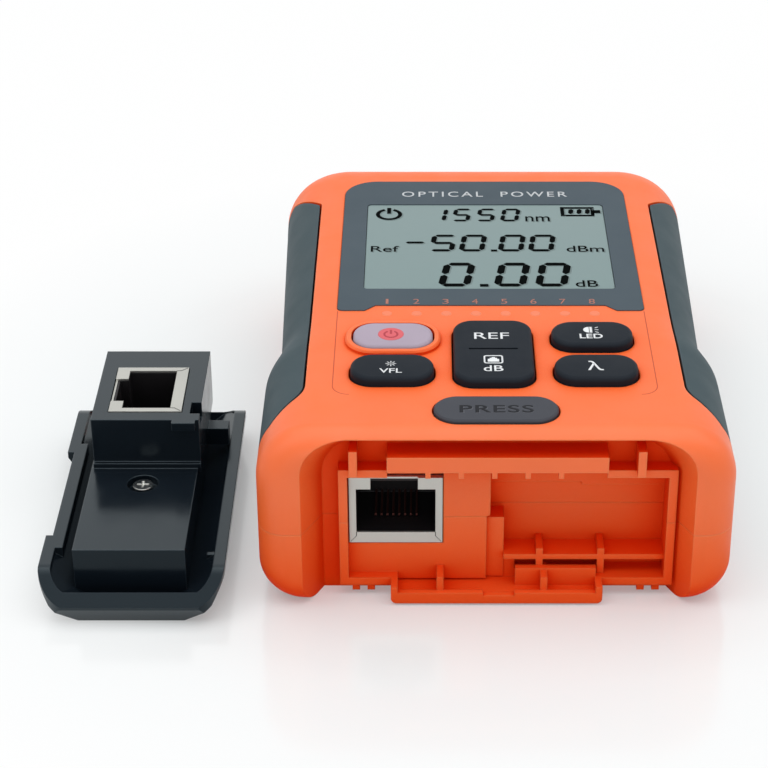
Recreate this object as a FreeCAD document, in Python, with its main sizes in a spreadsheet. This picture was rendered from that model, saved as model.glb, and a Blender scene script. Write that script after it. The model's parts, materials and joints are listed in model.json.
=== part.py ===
import FreeCAD, Part
import math
import os
import Sketcher

# Handheld optical power meter with a network jack, and its detached remote cap.
# Origin: centre of the flat back. +Z leaves the face, +Y runs to the top end, millimetres.

sizes = {
    # body form
    "body_width": 81.2, "body_length": 114.0, "body_depth": 34.3, "parting_level": 15.0,
    "tail_corner": 13.0, "top_round": 10.0, "bottom_round": 8.0, "nose_round": 5.0,
    "waist_depth": 2.3, "waist_start": 33.0, "waist_flare": 8.5,
    "waist_rise": 2.2, "waist_bend": 18.0,
    "shell_wall": 2.2, "bay_length": 28.0, "seat_gap": 0.4, "touch_gap": 0.05,
    # grips
    "grip_thickness": 2.4, "grip_inner": 33.0, "grip_start": 16.0, "grip_end": 91.0,
    "grip_slant": 5.5, "grip_floor": 6.0, "grip_crown": 8.0, "grip_bend": 5.0, "grip_corner": 1.5,
    "room_bevel": 0.6,
    "scoop_depth": 2.6, "scoop_start": 69.8, "scoop_end": 97.8, "scoop_low": 17.5,
    "scoop_high": 27.0, "scoop_belly": 2.6, "scoop_back": 1.2,
    # display
    "bezel_half": 28.0, "bezel_start": 45.0, "bezel_end": 101.0, "bezel_thickness": 1.6,
    "bezel_corner": 6.5, "bezel_step": 2.0, "bezel_step_half": 23.0, "bezel_proud": 0.15,
    "window_half": 23.4, "window_start": 53.5, "window_end": 90.1, "window_corner": 0.8,
    "glass_margin": 1.5, "glass_thickness": 1.8, "holder_margin": 2.2,
    # keys
    "key_proud": 1.6, "key_gap": 0.3, "key_bevel": 0.45, "key_travel": 0.8, "key_float": 0.1,
    "flange_width": 0.8, "flange_thickness": 0.75,
    "small_key_width": 14.5, "small_key_length": 9.0, "small_key_corner": 3.9,
    "ref_key_width": 14.0, "ref_key_length": 22.1, "ref_key_corner": 3.6,
    "power_key_width": 14.2, "power_key_length": 9.0, "power_key_proud": 1.3,
    "side_key_offset": 17.7, "lower_key_row": 21.8, "upper_key_row": 33.9, "ref_key_row": 27.85,
    "collar_width": 1.1, "collar_proud": 0.9, "collar_bevel": 0.4, "collar_root": 0.5,
    "groove_width": 0.5, "groove_depth": 0.35, "groove_length": 8.0,
    # release button
    "button_width": 21.1, "button_length": 8.3, "button_row": 9.0, "button_proud": 0.6,
    "button_thickness": 1.5, "button_travel": 0.8, "button_float": 0.1, "button_bevel": 0.3,
    "button_flat": 0.05,
    "stem_width": 10.0, "stem_depth": 2.0, "stem_row": 11.2, "stem_reach": 3.0,
    "foot_overhang": 1.2, "foot_height": 0.9,
    # electronics
    "mat_thickness": 1.0, "switch_height": 1.1, "switch_width": 4.4, "board_thickness": 1.6,
    "board_margin": 1.5, "led_radius": 0.8, "led_pitch": 5.4, "led_row": 44.0, "led_count": 8,
    "led_sink": 0.2, "led_gap": 1.0, "mat_gap": 0.5, "mat_corner": 2.0, "lcd_corner": 0.6,
    "holder_corner": 1.0, "board_gap": 0.3, "board_setback": 1.0,
    # nose recess and bay frame
    "recess_left": -33.0, "recess_right": 33.5, "recess_top": 33.7, "recess_length": 7.0,
    "recess_draw": 3.4, "recess_corner": 8.0,
    "frame_left": -26.7, "frame_right": 30.8, "frame_bottom": 2.2, "frame_top": 25.6,
    "frame_wall": 1.5, "frame_front": 4.0,
    "rail_left": -18.4, "rail_right": 18.8, "rail_bottom": 26.3, "rail_top": 29.3,
    "rail_front": 2.0, "tab_width": 1.4, "tab_top": 30.4, "tab_left": -24.1, "tab_right": 24.4,
    "nub_width": 0.9, "nub_height": 1.1, "nub_first": -11.5, "nub_pitch": 5.6, "nub_count": 5,
    "tongue_left": -17.9, "tongue_right": 18.6, "tongue_front": 1.0, "tongue_bottom": 0.4,
    "tongue_thickness": 1.5, "tongue_wall": 1.2, "tongue_rib": 1.2, "tongue_lip": 1.2,
    "tongue_lip_height": 0.6,
    "tongue_round": 1.0, "root": 0.2,
    "tongue_rib_left": -9.4, "tongue_rib_right": 8.5, "tongue_rib_height": 3.2,
    "under_rib_width": 1.3, "under_rib_pitch": 2.6, "under_rib_inset": 2.1,
    "under_rib_drop": 1.4, "under_rib_count": 2, "under_rib_setback": 0.6,
    "jack_wall_front": 6.0, "block_right": -0.8, "block_round": 0.9, "lower_block_inset": 0.6,
    "step_right": 1.6, "step_front": 6.8, "step_top": 14.4,
    "hollow_end": 10.5, "hollow_floor": 7.5, "shelf_thickness": 1.0, "shelf_pocket_end": 9.0,
    "strip_proud": 0.5, "strip_low": 19.6, "strip_jog": 0.6, "strip_jog_x": 15.0,
    "shelf_pocket_left": 3.6, "shelf_front": 5.6, "shelf_rib": 1.2,
    "shelf_rib_first": 7.8, "shelf_rib_last": 18.4, "shelf_rib_rise": 1.2,
    "tray_wall_front": 4.4, "tray_wall": 1.2, "tray_wall_top": 5.4,
    "lip_dip_left": -2.0, "lip_dip_right": 3.4, "lip_dip": 0.5,
    # network jack
    "jack_width": 16.0, "jack_height": 13.1, "jack_length": 18.0, "jack_left": -25.0,
    "jack_bottom": 9.8, "jack_front": 5.9, "shield_skin": 0.35, "jack_gap": 0.15,
    "mouth_width": 13.6, "mouth_bottom": 2.1, "mouth_top": 2.3, "mouth_depth": 13.0,
    "latch_width": 8.1, "latch_left": 3.7, "latch_roof": 0.8, "latch_depth": 8.0,
    "wire_width": 0.4, "wire_pitch": 1.02, "wire_count": 8, "wire_length": 8.0,
    "wire_height": 0.35, "jack_board_thickness": 1.6,
    # ports on the top end
    "port_level": 17.0, "opm_port_x": -14.0, "vfl_port_x": 14.0, "port_reach": 7.0,
    "opm_port_radius": 4.6, "vfl_port_radius": 3.4, "ferrule_radius": 1.26,
    "port_flange": 1.2, "port_flange_depth": 1.2, "cap_clearance": 0.06, "cap_wall": 1.3,
    "cap_end": 1.6, "torch_radius": 2.5, "torch_proud": 0.8, "torch_flange": 0.8,
    # batteries
    "cell_radius": 5.2, "cell_length": 44.5, "cell_nub_radius": 1.9, "cell_nub": 0.9,
    "cell_pitch": 10.8, "cell_count": 3, "cell_start": 48.0, "cell_level": 8.0,
    "bay_margin": 0.8, "bay_wall": 1.3, "bay_roof_wall": 0.8, "spring_room": 1.0,
    "ledge_width": 1.5, "ledge_height": 1.6, "contact_thickness": 0.5, "contact_width": 8.0,
    "door_overlap": 1.6, "door_thickness": 1.9, "door_corner": 2.0, "door_gap": 0.3,
    # case screws
    "screw_radius": 1.25, "screw_head_radius": 2.4, "screw_head": 1.6, "screw_length": 17.5,
    "screw_x": 30.2, "screw_front_row": 33.0, "screw_rear_row": 98.0, "boss_radius": 3.0,
    "screw_seat": 3.2, "screw_room": 0.8, "head_gap": 0.2, "drive_half": 0.3, "drive_reach": 1.4,
    # remote cap, lying to the left of the meter
    "remote_x": -62.3, "remote_near": -5.7, "remote_width": 32.0, "remote_length": 66.0,
    "remote_rim": 8.0, "remote_corner": 7.0, "remote_foot_width": 18.2,
    "remote_foot_length": 61.5, "remote_belly_level": 3.2, "remote_belly": 0.7,
    "remote_wall": 2.1, "remote_floor": 2.2, "remote_lip": 1.2,
    "remote_fall": 6.0, "remote_end_level": 3.4, "remote_shoulder": 5.0,
    "notch_start": 16.5, "notch_end": 44.3, "notch_floor": 2.8, "notch_depth": 1.2,
    "bar_width": 2.2, "bar_start": 12.7, "bar_overlap": 3.0,
    "inner_tab_y": 12.3, "inner_tab_width": 0.8, "inner_tab_reach": 1.5, "inner_tab_top": 6.8,
    "platform_left": -9.8, "platform_right": 9.4, "platform_near": 6.2, "platform_top": 11.8,
    "block_length": 25.3, "block_far": 7.4, "block_left": -9.4, "block_right_side": 9.9,
    "block_top": 21.5, "jack_proud": 0.15, "bead_height": 1.0, "bead_proud": 0.8,
    "block_notch_width": 1.8, "block_notch_length": 4.0, "block_notch_row": 6.2,
    "block_notch_depth": 3.0,
    "brow_width": 4.2, "brow_proud": 1.2, "brow_depth": 1.6, "brow_inset": 0.6,
    "saddle_width": 3.0, "saddle_row": 19.0, "saddle_top": 11.5,
    "remote_jack_x": 0.0, "remote_jack_length": 14.0, "remote_jack_row": 29.9,
    "remote_screw_row": 38.6,
    "remote_screw_head": 1.75, "remote_screw_head_height": 1.4, "counterbore_radius": 2.8,
    "counterbore_depth": 1.6, "remote_screw_length": 6.5, "remote_screw_radius": 1.0,
    "remote_drive_half": 0.2, "remote_drive_reach": 1.0, "remote_drive_depth": 0.5,
    "post_radius": 2.6, "post_top": 8.0, "platform_skin": 1.8,
    # how far a cutting tool or a root runs past the face that it meets
    "overrun": 1.0,
}

doc = FreeCAD.newDocument("power_meter")
sheet = doc.addObject("Spreadsheet::Sheet", "Sizes")


class Size:
    """A length in mm, with the expression that binds a feature to the sheet."""

    def __init__(self, value, text):
        self.value = value
        self.text = text

    def __add__(self, other):
        other = as_size(other)
        return Size(self.value + other.value, f"({self.text} + {other.text})")

    def __sub__(self, other):
        other = as_size(other)
        return Size(self.value - other.value, f"({self.text} - {other.text})")

    def __mul__(self, other):
        other = as_size(other)
        return Size(self.value * other.value, f"({self.text} * {other.text})")

    def __truediv__(self, other):
        other = as_size(other)
        return Size(self.value / other.value, f"({self.text} / {other.text})")

    def __neg__(self):
        return Size(-self.value, f"(0 - {self.text})")

    def __radd__(self, other):
        return as_size(other) + self

    def __rsub__(self, other):
        return as_size(other) - self

    def __rmul__(self, other):
        return as_size(other) * self


def as_size(value):
    return value if isinstance(value, Size) else Size(float(value), f"{float(value):.6f}")


def angle_of(rise, run):
    """The slope of a rise over a run, in degrees."""
    return Size(math.degrees(math.atan(rise.value / run.value)),
                f"atan({rise.text} / {run.text})")


class Named:
    """Every size in the sheet, as an attribute."""


s = Named()
for row, (alias, number) in enumerate(sizes.items(), start=1):
    sheet.set(f"A{row}", alias)
    sheet.set(f"B{row}", str(number))
    sheet.setAlias(f"B{row}", alias)
    setattr(s, alias, Size(number, f"Sizes.{alias}"))
doc.recompute()


# ---- helpers that make bound features ----

def bind(thing, **formulas):
    """bind(box, Length=s.body_width) ties properties to sizes; __ stands for a dot."""
    for name, size in formulas.items():
        thing.setExpression(name.replace("__", "."), as_size(size).text)


def place(thing, x, y, z):
    bind(thing, Placement__Base__x=x, Placement__Base__y=y, Placement__Base__z=z)


def block(name, x, y, z):
    """A box from its low and high ends along each axis."""
    box = doc.addObject("Part::Box", name)
    spans = [(as_size(low), as_size(high)) for low, high in (x, y, z)]
    for side, (low, high) in zip(("Length", "Width", "Height"), spans):
        box.setExpression(side, (high - low).text)
    place(box, *[low for low, high in spans])
    return box


turns = {
    "X": FreeCAD.Rotation(FreeCAD.Vector(0, 1, 0), 90),
    "Y": FreeCAD.Rotation(FreeCAD.Vector(1, 0, 0), -90),
    "Z": FreeCAD.Rotation(),
}


def drum(name, axis, centre, radius, length):
    """A cylinder that starts at centre and runs along +axis."""
    cylinder = doc.addObject("Part::Cylinder", name)
    cylinder.Placement = FreeCAD.Placement(FreeCAD.Vector(), turns[axis])
    place(cylinder, *centre)
    bind(cylinder, Radius=radius, Height=length)
    return cylinder


def outline(body, name, plane, offset, corners):
    """A closed sketch on one of the body's planes, each corner tied to sizes.

    A corner is (across, up), or (across, up, radius, bulge) where an arc leaves it: bulge is
    how far the arc's middle stands off its chord, to the right of the way round.
    """
    sketch = body.newObject("Sketcher::SketchObject", name)
    support = [f for f in body.Origin.OriginFeatures if f.Role == plane + "_Plane"][0]
    sketch.AttachmentSupport = [(support, "")]
    sketch.MapMode = "FlatFace"
    bind(sketch, AttachmentOffset__Base__z=offset)
    corners = [tuple(as_size(value) for value in corner) for corner in corners]
    points = [FreeCAD.Vector(c[0].value, c[1].value, 0) for c in corners]
    arcs = {}
    for index, corner in enumerate(corners):
        start, end = points[index], points[(index + 1) % len(points)]
        if len(corner) == 2:
            sketch.addGeometry(Part.LineSegment(start, end))
            continue
        across = (end - start).normalize()
        middle = (start + end) / 2 + FreeCAD.Vector(across.y, -across.x, 0) * corner[3].value
        sketch.addGeometry(Part.Arc(start, middle, end))
        arcs[index] = corner[2]
    for index, corner in enumerate(corners):
        previous = (index - 1) % len(points)
        here = [1 if (sketch.getPoint(g, 1) - points[index]).Length < 1e-6 else 2
                for g in (previous, index)]
        sketch.addConstraint(Sketcher.Constraint("Coincident", previous, here[0], index, here[1]))
        for kind, size in (("DistanceX", corner[0]), ("DistanceY", corner[1])):
            number = sketch.addConstraint(Sketcher.Constraint(kind, index, here[1], size.value))
            sketch.setExpression(f"Constraints[{number}]", size.text)
    for index, radius in arcs.items():
        number = sketch.addConstraint(Sketcher.Constraint("Radius", index, radius.value))
        sketch.setExpression(f"Constraints[{number}]", radius.text)
    return sketch


def prism(name, plane, low, high, corners, taper=None):
    """A padded outline from low to high along the plane's own axis (XZ runs along Y)."""
    body = doc.addObject("PartDesign::Body", name)
    low, high = as_size(low), as_size(high)
    start = -high if plane == "XZ" else low
    sketch = outline(body, name + "_outline", plane, start, corners)
    pad = body.newObject("PartDesign::Pad", name + "_pad")
    pad.Profile = sketch
    bind(pad, Length=high - low)
    if taper is not None:
        bind(pad, TaperAngle=taper)
    doc.recompute()
    return body


def eased(body, name, chosen, kind, **size):
    """Fillets or chamfers the tip's edges whose middle and direction pass the test."""
    tip = body.Tip
    names = []
    for number, edge in enumerate(tip.Shape.Edges, start=1):
        middle = edge.valueAt((edge.FirstParameter + edge.LastParameter) / 2)
        if chosen(middle, edge.tangentAt((edge.FirstParameter + edge.LastParameter) / 2)):
            names.append(f"Edge{number}")
    feature = body.newObject(kind, name)
    feature.Base = (tip, names)
    bind(feature, **size)
    doc.recompute()
    return body


def rounded(body, name, radius, chosen):
    return eased(body, name, chosen, "PartDesign::Fillet", Radius=radius)


def bevelled(body, name, size, chosen):
    return eased(body, name, chosen, "PartDesign::Chamfer", Size=size)


def near(first, second):
    return abs(first - as_size(second).value) < 0.01


def rectangle(x, y):
    return [(x[0], y[0]), (x[1], y[0]), (x[1], y[1]), (x[0], y[1])]


def slab(name, x, y, z, corner, bevel=None):
    """A plate with rounded upright corners and, if asked, a bevelled top edge."""
    body = prism(name, "XY", z[0], z[1], rectangle(x, y))
    rounded(body, name + "_corners", corner, lambda point, way: abs(way.z) > 0.9)
    if bevel is not None:
        top = as_size(z[1])
        bevelled(body, name + "_edge", bevel, lambda point, way: near(point.z, top))
    return body


def fuse(name, *parts):
    joined = doc.addObject("Part::MultiFuse", name)
    joined.Shapes = list(parts)
    joined.Refine = True
    return joined


def cut(name, base, *tools):
    result = doc.addObject("Part::Cut", name)
    result.Base = base
    result.Tool = tools[0] if len(tools) == 1 else fuse(name + "_tools", *tools)
    return result


def common(name, first, second):
    result = doc.addObject("Part::Common", name)
    result.Base = first
    result.Tool = second
    return result


def group(name, parts):
    """Separate solids that share a node."""
    result = doc.addObject("Part::Compound", name)
    result.Links = list(parts)
    return result


nodes = {}


def node(name, thing):
    thing.Label = name
    nodes[name] = thing
    return thing


# ---- places that many pieces share ----

nose = -s.body_length / 2
tail = s.body_length / 2
ceiling = s.body_depth - s.shell_wall


def behind(distance):
    """The Y place that lies this far behind the plane of the nose."""
    return nose + distance


key_bottom = ceiling - s.touch_gap - s.flange_thickness
mat_top = key_bottom - s.key_travel - s.key_float
mat_bottom = mat_top - s.mat_thickness
board_top = mat_bottom - s.switch_height
board_bottom = board_top - s.board_thickness


# ---- the body's outer form, its grip core and its hollow ----

def body_form(name, side, cap, start):
    """The meter's rounded form, drawn in by side all round and by cap at face and back."""
    half = s.body_width / 2 - side
    first = behind(s.waist_start)
    second = first + s.waist_flare
    end = tail - side
    narrow, upper = half - s.waist_depth, half - s.waist_depth + s.waist_rise
    body = prism(name, "XY", cap, s.body_depth - cap, [
        (-half, start), (half, start), (half, first), (narrow, second),
        (upper, end), (-upper, end), (-narrow, second), (-half, first)])
    upright = lambda way: abs(way.z) > 0.9
    rounded(body, name + "_tail", s.tail_corner - side,
            lambda point, way: upright(way) and near(point.y, end))
    rounded(body, name + "_flare", s.waist_bend,
            lambda point, way: upright(way) and (near(point.y, first) or near(point.y, second)))
    for word, level, radius in (("top", s.body_depth - cap, s.top_round - side),
                                ("bottom", cap, s.bottom_round - side)):
        rounded(body, f"{name}_{word}", radius, lambda point, way:
                near(point.z, level) and not near(point.y, start))
    return body


outer = body_form("outer_form", 0, 0, nose)
rounded(outer, "outer_form_nose", s.nose_round, lambda point, way: near(point.y, nose))
core = body_form("grip_core", s.grip_thickness, s.grip_thickness, nose - s.overrun)

side_wall = s.grip_thickness + s.shell_wall
hollow_half = s.body_width / 2 - side_wall - s.waist_depth
hollow = prism("inner_room", "XY", s.shell_wall, ceiling, rectangle(
    (-hollow_half, hollow_half), (behind(s.bay_length), tail - side_wall)))
rounded(hollow, "inner_room_corners", s.tail_corner - side_wall,
        lambda point, way: abs(way.z) > 0.9 and near(point.y, tail - side_wall))
bevelled(hollow, "inner_room_edges", (s.bottom_round - side_wall) * s.room_bevel, lambda point, way:
        abs(way.z) < 0.1 and not near(point.y, behind(s.bay_length)))

beyond = s.body_width
below = -s.body_width


def grip_region(name, side, grow):
    """The part of the body that a grip covers, seen from the face; side is -1 or 1."""
    inner = s.grip_inner - grow
    tip = s.grip_inner + s.grip_slant
    start = behind(s.grip_start) - grow
    end = behind(s.grip_end) + grow
    corners = [(inner, start), (tip, start - s.grip_slant), (beyond, start - s.grip_slant),
               (beyond, end + s.grip_crown), (tip, end + s.grip_crown), (inner, end)]
    if side < 0:
        corners = [(-x, y) for x, y in reversed(corners)]
    region = prism(name, "XY", s.grip_floor - grow, s.body_depth + s.overrun, corners)
    rounded(region, name + "_bend", s.grip_bend, lambda point, way:
            abs(way.z) > 0.9 and near(abs(point.x), inner) and near(point.y, start))
    return rounded(region, name + "_corner", s.grip_corner, lambda point, way:
                   abs(way.z) > 0.9 and near(abs(point.x), inner) and near(point.y, end))


def leaf(name, low, high):
    """A pointed leaf on the side of a grip: two arcs that meet at both ends."""
    first = (behind(s.scoop_start), s.scoop_low)
    last = (behind(s.scoop_end), s.scoop_high)
    run, rise = last[0] - first[0], last[1] - first[1]
    arcs = [((run * run + rise * rise) / 4 + bulge * bulge) / (2 * bulge)
            for bulge in (s.scoop_belly, s.scoop_back)]
    return prism(name, "YZ", low, high, [
        (first[0], first[1], arcs[0], s.scoop_belly), (last[0], last[1], arcs[1], s.scoop_back)])


seats = []
scoop_reach = s.body_width / 2 - s.scoop_depth
for word, side in (("left", -1), ("right", 1)):
    skin = common(f"grip_skin_{word}", outer, grip_region(f"grip_region_{word}", side, 0))
    scoop = leaf(f"grip_scoop_{word}", scoop_reach if side > 0 else -beyond,
                 beyond if side > 0 else -scoop_reach)
    node(f"side_grip_{word}", cut(f"grip_{word}", skin, core, scoop))
    seats.append(cut(f"grip_seat_{word}",
                     grip_region(f"grip_seat_region_{word}", side, s.seat_gap), core))


# ---- network jack room, nose recess and bay frame ----

jack_right = s.jack_left + s.jack_width
jack_top = s.jack_bottom + s.jack_height
jack_end = behind(s.jack_front + s.jack_length)
frame_back = behind(s.recess_length)
frame_low = s.frame_bottom + s.frame_wall
frame_high = s.frame_top - s.frame_wall
frame_in_left = s.frame_left + s.frame_wall
frame_in_right = s.frame_right - s.frame_wall

recess = prism(
    "nose_recess", "XZ", nose - s.overrun, frame_back,
    rectangle((s.recess_left + s.recess_draw, s.recess_right - s.recess_draw),
              (below, s.recess_top - s.recess_draw)),
    taper=angle_of(s.recess_draw, s.recess_length))
rounded(recess, "nose_recess_corners", s.recess_corner,
        lambda point, way: abs(way.y) > 0.7 and point.z > 0)
jack_room_floor = s.jack_bottom - s.jack_gap
jack_room = block(
    "jack_room", (s.jack_left - s.jack_gap, jack_right + s.jack_gap),
    (nose, behind(s.bay_length) + s.overrun), (jack_room_floor, jack_top + s.jack_gap))
jack_lobby = block("jack_lobby", (frame_in_left, s.block_right),
                   (nose, behind(s.jack_wall_front)), (frame_low, frame_high))
strip_bottom = s.strip_low - s.strip_jog
strip_face = s.hollow_end - s.strip_proud
hollow_rooms = [
    block(name, (s.block_right, right), (nose, behind(depth)), (low, high))
    for name, right, depth, low, high in (
        ("hollow_room", frame_in_right, s.hollow_end, s.hollow_floor, strip_bottom),
        ("hollow_jog", s.strip_jog_x, s.hollow_end, strip_bottom, s.strip_low),
        ("hollow_top", frame_in_right, strip_face, strip_bottom, frame_high))]
shelf_low = s.hollow_floor - s.shelf_thickness
rib_half = s.shelf_rib / 2
pocket_edges = [s.shelf_pocket_left, s.shelf_rib_first, s.shelf_rib_last, frame_in_right]
shelf_pockets = []
for index in range(3):
    first = pocket_edges[index] + (rib_half if index else 0)
    last = pocket_edges[index + 1] - (rib_half if index < 2 else 0)
    shelf_pockets.append(block(f"shelf_pocket_{index + 1}", (first, last),
                               (nose, behind(s.shelf_pocket_end)), (frame_low, shelf_low)))

# ---- front shell ----

keys = {
    "key_power": (-s.side_key_offset, s.upper_key_row, s.power_key_width, s.power_key_length,
                  s.small_key_corner, s.power_key_proud),
    "key_vfl": (-s.side_key_offset, s.lower_key_row, s.small_key_width, s.small_key_length,
                s.small_key_corner, s.key_proud),
    "key_ref_db": (as_size(0), s.ref_key_row, s.ref_key_width, s.ref_key_length,
                   s.ref_key_corner, s.key_proud),
    "key_led": (s.side_key_offset, s.upper_key_row, s.small_key_width, s.small_key_length,
                s.small_key_corner, s.key_proud),
    "key_wavelength": (s.side_key_offset, s.lower_key_row, s.small_key_width,
                       s.small_key_length, s.small_key_corner, s.key_proud),
}


def key_span(name, grow):
    """A key's outline, grown all round."""
    x, row, width, length = keys[name][:4]
    return ((x - width / 2 - grow, x + width / 2 + grow),
            (behind(row) - length / 2 - grow, behind(row) + length / 2 + grow))


key_holes = []
for name in keys:
    across, along = key_span(name, s.key_gap)
    key_holes.append(slab(name + "_hole", across, along,
                          (ceiling - s.overrun, s.body_depth + s.overrun * 3),
                          keys[name][4] + s.key_gap))

button_half = s.button_width / 2
button_corner = s.button_length / 2 - s.button_flat
button_row = behind(s.button_row)
button_bottom = s.body_depth + s.button_proud - s.button_thickness
well_floor = button_bottom - s.button_travel - s.button_float
button_well = slab(
    "button_well", (-button_half - s.key_gap, button_half + s.key_gap),
    (button_row - s.button_length / 2 - s.key_gap, button_row + s.button_length / 2 + s.key_gap),
    (well_floor, s.body_depth + s.overrun * 3), button_corner + s.key_gap)
stem_half = s.stem_width / 2
stem_y = (behind(s.stem_row) - s.stem_depth / 2, behind(s.stem_row) + s.stem_depth / 2)
stem_bottom = button_bottom - s.stem_reach
foot_top = stem_bottom + s.foot_height
foot_half = stem_half + s.foot_overhang
stem_slot = block("stem_slot", (-stem_half - s.key_gap, stem_half + s.key_gap),
                  (stem_y[0] - s.key_gap, stem_y[1] + s.key_gap),
                  (stem_bottom, s.body_depth))
board_start = stem_y[1] + s.key_gap + s.board_margin + s.board_setback
foot_room = block("foot_room", (-foot_half - s.key_gap, foot_half + s.key_gap),
                  (stem_y[0] - s.key_gap, board_start),
                  (stem_bottom - s.button_travel - s.button_float, foot_top + s.touch_gap))

upper_room = block("upper_room", (-hollow_half, hollow_half),
                   (board_start - s.board_margin, behind(s.bay_length) + s.overrun),
                   (board_bottom - s.board_gap, ceiling))


def bezel_outline(grow):
    """The display panel: straight sides, and a lower edge that dips at both corners."""
    half = s.bezel_half + grow
    step = s.bezel_step_half + grow
    low, high = behind(s.bezel_start) - grow, behind(s.bezel_end) + grow
    return [(-half, low), (-step, low), (-step + s.bezel_step, low + s.bezel_step),
            (step - s.bezel_step, low + s.bezel_step), (step, low), (half, low),
            (half, high), (-half, high)]


def bezel_form(name, grow, low, high):
    body = prism(name, "XY", low, high, bezel_outline(grow))
    rounded(body, name + "_upper", s.bezel_corner + grow, lambda point, way:
            abs(way.z) > 0.9 and near(point.y, behind(s.bezel_end) + grow))
    return rounded(body, name + "_lower", s.bezel_step / 2, lambda point, way:
                   abs(way.z) > 0.9 and near(abs(point.x), s.bezel_half + grow))


bezel_bottom = s.body_depth + s.bezel_proud - s.bezel_thickness
bezel_seat = bezel_form("bezel_seat", s.touch_gap, bezel_bottom, s.body_depth + s.overrun * 3)
glass_x = (-s.window_half - s.glass_margin, s.window_half + s.glass_margin)
glass_y = (behind(s.window_start) - s.glass_margin, behind(s.window_end) + s.glass_margin)
glass_room = block("glass_room", (glass_x[0] - s.touch_gap, glass_x[1] + s.touch_gap),
                   (glass_y[0] - s.touch_gap, glass_y[1] + s.touch_gap),
                   (ceiling - s.overrun, s.body_depth))
led_x = [(-(s.led_count - 1) / 2 + index) * s.led_pitch for index in range(int(s.led_count.value))]
led_holes = [drum(f"led_hole_{index + 1}", "Z", (x, behind(s.led_row), ceiling - s.overrun),
                  s.led_radius + s.touch_gap, s.shell_wall + s.overrun * 2)
             for index, x in enumerate(led_x)]

port_bores = [
    drum("opm_bore", "Y", (s.opm_port_x, tail - side_wall - s.overrun, s.port_level),
         s.opm_port_radius + s.touch_gap, side_wall + s.overrun * 2),
    drum("vfl_bore", "Y", (s.vfl_port_x, tail - side_wall - s.overrun, s.port_level),
         s.vfl_port_radius + s.touch_gap, side_wall + s.overrun * 2),
    drum("torch_bore", "Y", (0, tail - side_wall - s.overrun, s.port_level),
         s.torch_radius + s.touch_gap, side_wall + s.overrun * 2),
]

screw_places = [(side * s.screw_x, behind(row))
                for row in (s.screw_front_row, s.screw_rear_row) for side in (-1, 1)]


def half_body(name, low, high):
    """The outer form between two levels."""
    return common(name, outer, block(name + "_limits", (-beyond, beyond),
                                     (-s.body_length, s.body_length), (low, high)))


jack_board_room = block(
    "jack_board_room", (s.jack_left - s.jack_gap, jack_right + s.jack_gap),
    (jack_end, behind(s.bay_length) + s.overrun), (jack_room_floor, ceiling - s.overrun))
shared_tools = [recess, hollow, jack_room, jack_board_room] + seats + port_bores
front_tools = shared_tools + key_holes + [
    button_well, stem_slot, foot_room, upper_room, bezel_seat, glass_room] + led_holes
front_bosses = []
screw_holes = []
for number, (x, y) in enumerate(screw_places, start=1):
    boss = drum(f"front_boss_{number}", "Z", (x, y, s.parting_level), s.boss_radius,
                ceiling - s.parting_level)
    front_bosses.append(boss)
    screw_holes.append(drum(f"screw_hole_{number}", "Z", (x, y, s.parting_level - s.overrun),
                            s.screw_radius + s.touch_gap,
                            s.screw_seat + s.screw_length + s.screw_room
                            - s.parting_level + s.overrun))
collar_across, collar_along = key_span("key_power", s.key_gap + s.collar_width)
collar = slab("power_collar", collar_across, collar_along,
              (s.body_depth - s.collar_root, s.body_depth + s.collar_proud),
              s.small_key_corner + s.key_gap + s.collar_width, s.collar_bevel)

front_body = cut("front_body", half_body("front_half", s.parting_level, s.body_depth + s.overrun),
                 *front_tools)
front_solid = fuse("front_solid", front_body, collar, *front_bosses)


def frame_part(name, low, high):
    """The walls round the bay between two levels, open to the front."""
    sides = [block(name + "_left", (s.frame_left, frame_in_left),
                   (behind(s.frame_front), frame_back), (low, high)),
             block(name + "_right", (frame_in_right, s.frame_right),
                   (behind(s.frame_front), frame_back), (low, high))]
    return sides


rail = [
    block("frame_top_left", (s.frame_left, s.rail_left),
          (behind(s.frame_front), frame_back), (frame_high, s.frame_top)),
    block("frame_top_right", (s.rail_right, s.frame_right),
          (behind(s.frame_front), frame_back), (frame_high, s.frame_top)),
    block("rail", (s.rail_left, s.rail_right), (behind(s.rail_front), frame_back),
          (s.rail_bottom, s.rail_top)),
]
for word, x in (("left", s.tab_left), ("right", s.tab_right)):
    rail.append(block("tab_" + word, (x - s.tab_width / 2, x + s.tab_width / 2),
                      (behind(s.rail_front), frame_back), (s.frame_top - s.root, s.tab_top)))
for index in range(int(s.nub_count.value)):
    x = s.nub_first + index * s.nub_pitch
    rail.append(block(f"nub_{index + 1}", (x - s.nub_width / 2, x + s.nub_width / 2),
                      (behind(s.rail_front), frame_back),
                      (s.rail_bottom - s.nub_height, s.rail_bottom)))
upper_block = prism("upper_block", "XZ", behind(s.jack_wall_front), frame_back, rectangle(
    (jack_right + s.jack_gap, s.block_right), (s.parting_level, frame_high)))
rounded(upper_block, "upper_block_round", s.block_round, lambda point, way:
        abs(way.y) > 0.9 and near(point.z, s.parting_level) and near(point.x, s.block_right))
front_bay = fuse("front_bay", front_solid, upper_block,
                 *frame_part("front_frame", s.parting_level, s.frame_top), *rail)
node("front_shell", cut(
    "front_shell_form", front_bay, *hollow_rooms,
    key_holes[0], *seats, fuse("front_screw_holes", *screw_holes)))

# ---- back shell ----

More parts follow.
